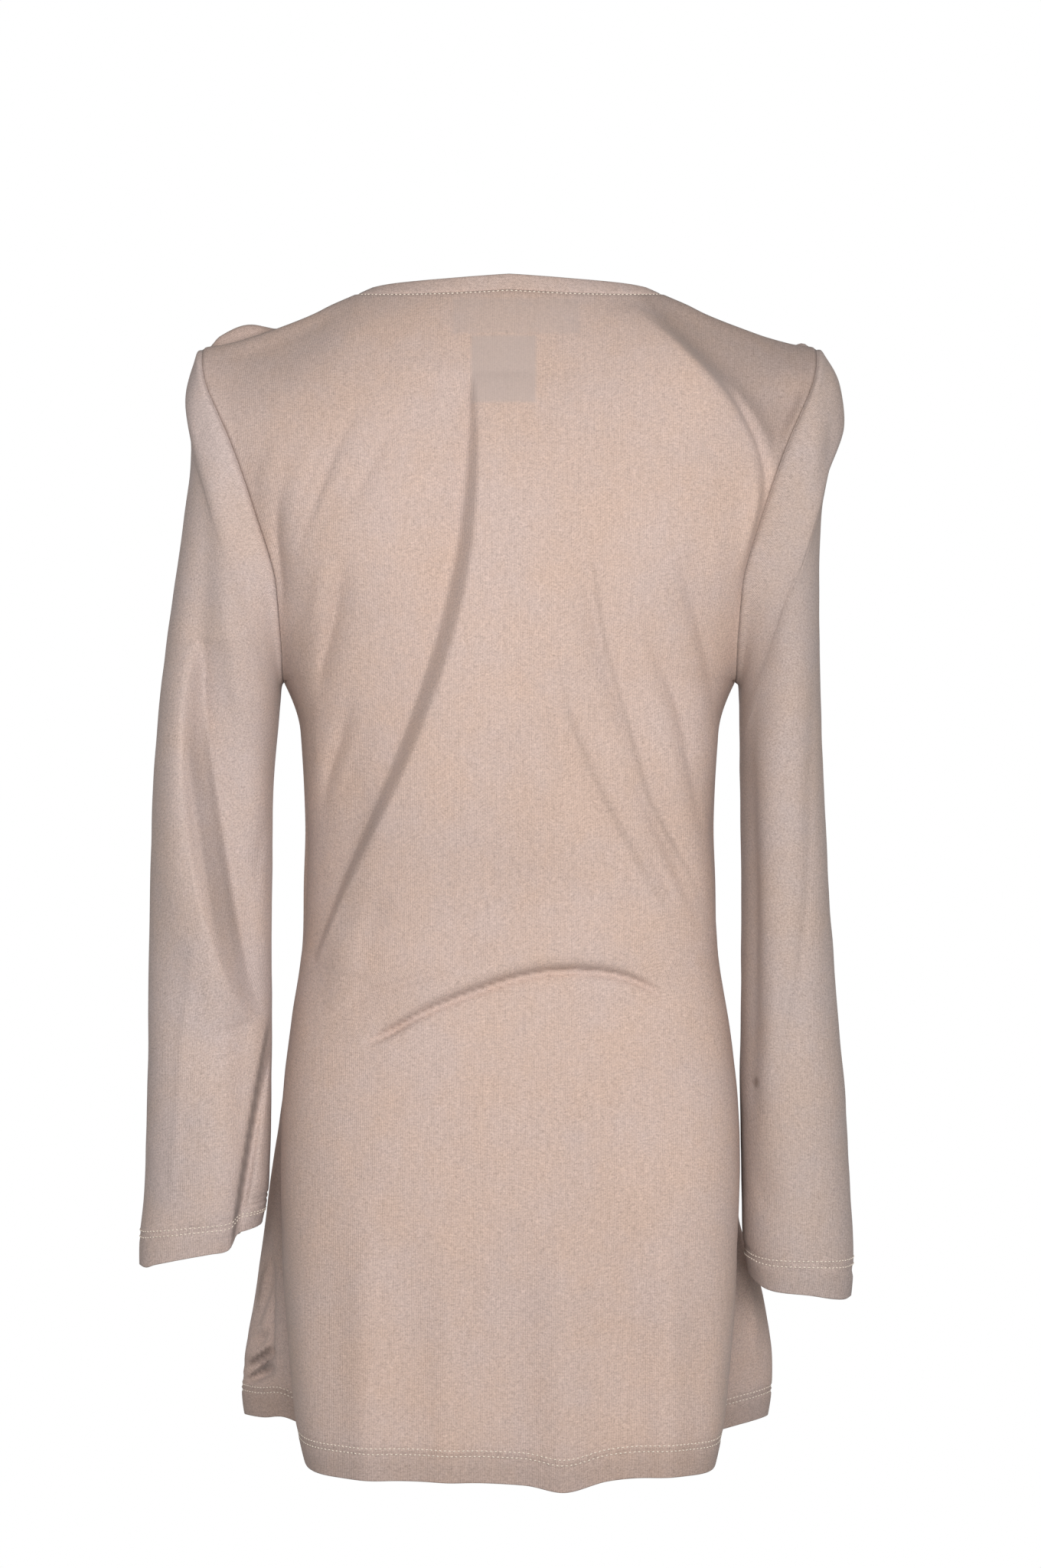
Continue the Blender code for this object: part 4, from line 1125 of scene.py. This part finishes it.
def makeLabel(name, box, surface, material):
    left, right, top, bottom = box
    rows = []
    for z in np.linspace(bottom, top, labels["rows"]):
        row = []
        for x in np.linspace(left, right, labels["columns"]):
            place, normal, _, _ = surface.ray_cast(Vector((x, 0, z)) * millimetre, Vector((0, 1, 0)))
            inward = normal if normal.y < 0 else -normal
            row.append((place + inward * labels["gap"] * millimetre) / millimetre)
        rows.append(row)
    rows = np.array(rows)
    return clothMesh(name, rows, runsAlong(rows, 1), runsAlong(rows, 0), True, material)


knitGroup = makeKnitGroup()
spotGroup = makeSpotGroup()
boxGroup = makeBoxGroup()
threadMaterial = plainMaterial("thread", looks["thread"], looks["threadRoughness"])[0]
tape = tapeMaterial("labelTape", looks["tape"])
tapeTwo = tapeMaterial("tagTape", looks["tape"])
backSpots = (
    ((0.064, 0.09, -0.200), 0.0014, 0.5),
    ((-0.0365, 0.105, -0.6835), 0.0014, 0.5),
)
backBoxes = ((labels["neckLabel"], 0.4), (labels["sizeTag"], 0.7))
backLook = knitMaterial("backKnit", looks["back"], looks["hemToneAndShade"], backSpots, backBoxes)
frontLook = knitMaterial("frontKnit", looks["front"], looks["hemToneAndShade"])
leftSpots = (((0.1526, 0.03, -0.341), 0.0022, 0.8),)
rightSpots = (((-0.157, 0.05, -0.516), 0.006, 0.75),)
leftLook = knitMaterial("leftSleeveKnit", looks["leftSleeve"], looks["cuffTone"], leftSpots)
rightLook = knitMaterial("rightSleeveKnit", looks["rightSleeve"], looks["cuffTone"], rightSpots)
bandLook = knitMaterial("bandKnit", looks["band"], looks["cuffTone"])
print("materials made")

backCloth, backPoints, backNormals, backUp = makePanel("backCloth", backPanel, backFolds, 1, backLook)
frontCloth, frontPoints, frontNormals, frontUp = makePanel("frontCloth", frontPanel, frontFolds, 2, frontLook)
print("back and front shaped")
sleeveLeft, leftPoints, leftNormals = makeSleeve("sleeveLeft", 1, 3, leftLook)
sleeveRight, rightPoints, rightNormals = makeSleeve("sleeveRight", -1, 4, rightLook)
print("sleeves shaped")
bandCloth = makeBand("neckBandCloth", bandLook)

inside = bmesh.new()
inside.from_mesh(backCloth.data)
surface = BVHTree.FromBMesh(inside)
neckLabel = makeLabel("neckLabelTape", labels["neckLabel"], surface, tape)
sizeTag = makeLabel("sizeTagTape", labels["sizeTag"], surface, tapeTwo)
inside.free()
for label in (neckLabel, sizeTag):
    giveThickness(label, labels["thickness"])
print("band and labels shaped")


def neckStitchRow(points, normals, upRun):
    at = stitching["neckFromSeam"]
    fromTop = upRun[-1] - upRun
    path = []
    outward = []
    for c in range(points.shape[1]):
        order = fromTop[:, c][::-1]
        path.append([np.interp(at, order, points[:, c, axis][::-1]) for axis in range(3)])
        outward.append([np.interp(at, order, normals[:, c, axis][::-1]) for axis in range(3)])
    path = np.array(path)
    outward = np.array(outward)
    inNeck = np.abs(path[:, 0]) < body["shoulderHalf"] * body["neckShare"] - 1
    return path[inNeck], outward[inNeck]


neckRows = [
    neckStitchRow(backPoints, backNormals, backUp),
    neckStitchRow(frontPoints, frontNormals, frontUp),
]
neckThread = stitchRows("neckStitches", neckRows)
backThread = stitchRows("backHemStitches", hemStitches(backPoints, backNormals))
frontThread = stitchRows("frontHemStitches", hemStitches(frontPoints, frontNormals))
leftThread = stitchRows("leftCuffStitches", hemStitches(leftPoints, leftNormals))
rightThread = stitchRows("rightCuffStitches", hemStitches(rightPoints, rightNormals))
print("stitches set")

for piece, node, slot in (
    (backCloth, "back", "back_knit"),
    (frontCloth, "front", "front_knit"),
    (sleeveLeft, "sleeve_left", "sleeve_left_knit"),
    (sleeveRight, "sleeve_right", "sleeve_right_knit"),
    (bandCloth, "neck_band", "neck_band_knit"),
    (neckLabel, "neck_label", "neck_label_tape"),
    (sizeTag, "size_tag", "size_tag_tape"),
):
    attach(piece, "root")
    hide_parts(node)
for thread, slot in (
    (neckThread, "neck_band_knit"),
    (backThread, "back_knit"),
    (frontThread, "front_knit"),
    (leftThread, "sleeve_left_knit"),
    (rightThread, "sleeve_right_knit"),
):
    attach(thread, "root")

# The floor, the light and the camera

made = bmesh.new()
bmesh.ops.create_grid(made, x_segments=1, y_segments=1, size=studio["floorHalf"])
floorMesh = bpy.data.meshes.new("paleFloor")
made.to_mesh(floorMesh)
made.free()
floor = placed("paleFloor", floorMesh, plainMaterial("paleFloor", studio["floorColour"], 1.0)[0])
floor.location = (0, 0, studio["floorHeight"])

# The background is white, and the room lights the cloth less than it shows
world = bpy.data.worlds.new("studio")
bpy.context.scene.world = world
world.use_nodes = True
room = world.node_tree
seen = addNode(room, "LightPath").outputs["Is Camera Ray"]
way = addNode(room, "SeparateXYZ", Vector=addNode(room, "TexCoord").outputs["Generated"])
steep = arithmetic(room, "ABSOLUTE", way.outputs["Z"])
level = addNode(
    room, "MapRange", Value=steep, From_Min=0.1, From_Max=0.8,
    To_Min=studio["roomSides"], To_Max=studio["roomTop"]
).outputs["Result"]
strength = arithmetic(room, "MAXIMUM", seen, level)
room.nodes["Background"].inputs["Color"].default_value = (1.0, 1.0, 1.0, 1.0)
room.links.new(strength, room.nodes["Background"].inputs["Strength"])


def softLight(name, place, aim, power):
    lamp = bpy.data.lights.new(name, "AREA")
    lamp.shape = "RECTANGLE"
    lamp.size = studio["lampWidth"]
    lamp.size_y = studio["lampHeight"]
    lamp.energy = power
    holder = bpy.data.objects.new(name, lamp)
    holder.location = place
    holder.rotation_euler = (Vector(aim) - Vector(place)).to_track_quat("-Z", "Y").to_euler()
    bpy.context.scene.collection.objects.link(holder)


softLight("keyLight", studio["keyPlace"], studio["keyAim"], studio["keyPower"])
softLight("frontLight", studio["frontPlace"], studio["frontAim"], studio["frontPower"])

view = bpy.data.cameras.new("photoView")
view.sensor_fit = "VERTICAL"
view.sensor_height = studio["sensor"]
view.lens = studio["lens"]
camera = bpy.data.objects.new("photoView", view)
camera.location = studio["cameraPlace"]
camera.rotation_euler = (math.radians(90), 0, math.radians(180))
bpy.context.scene.collection.objects.link(camera)
bpy.context.scene.camera = camera
bpy.context.scene.view_settings.view_transform = "Standard"
print("stage, light and camera set")
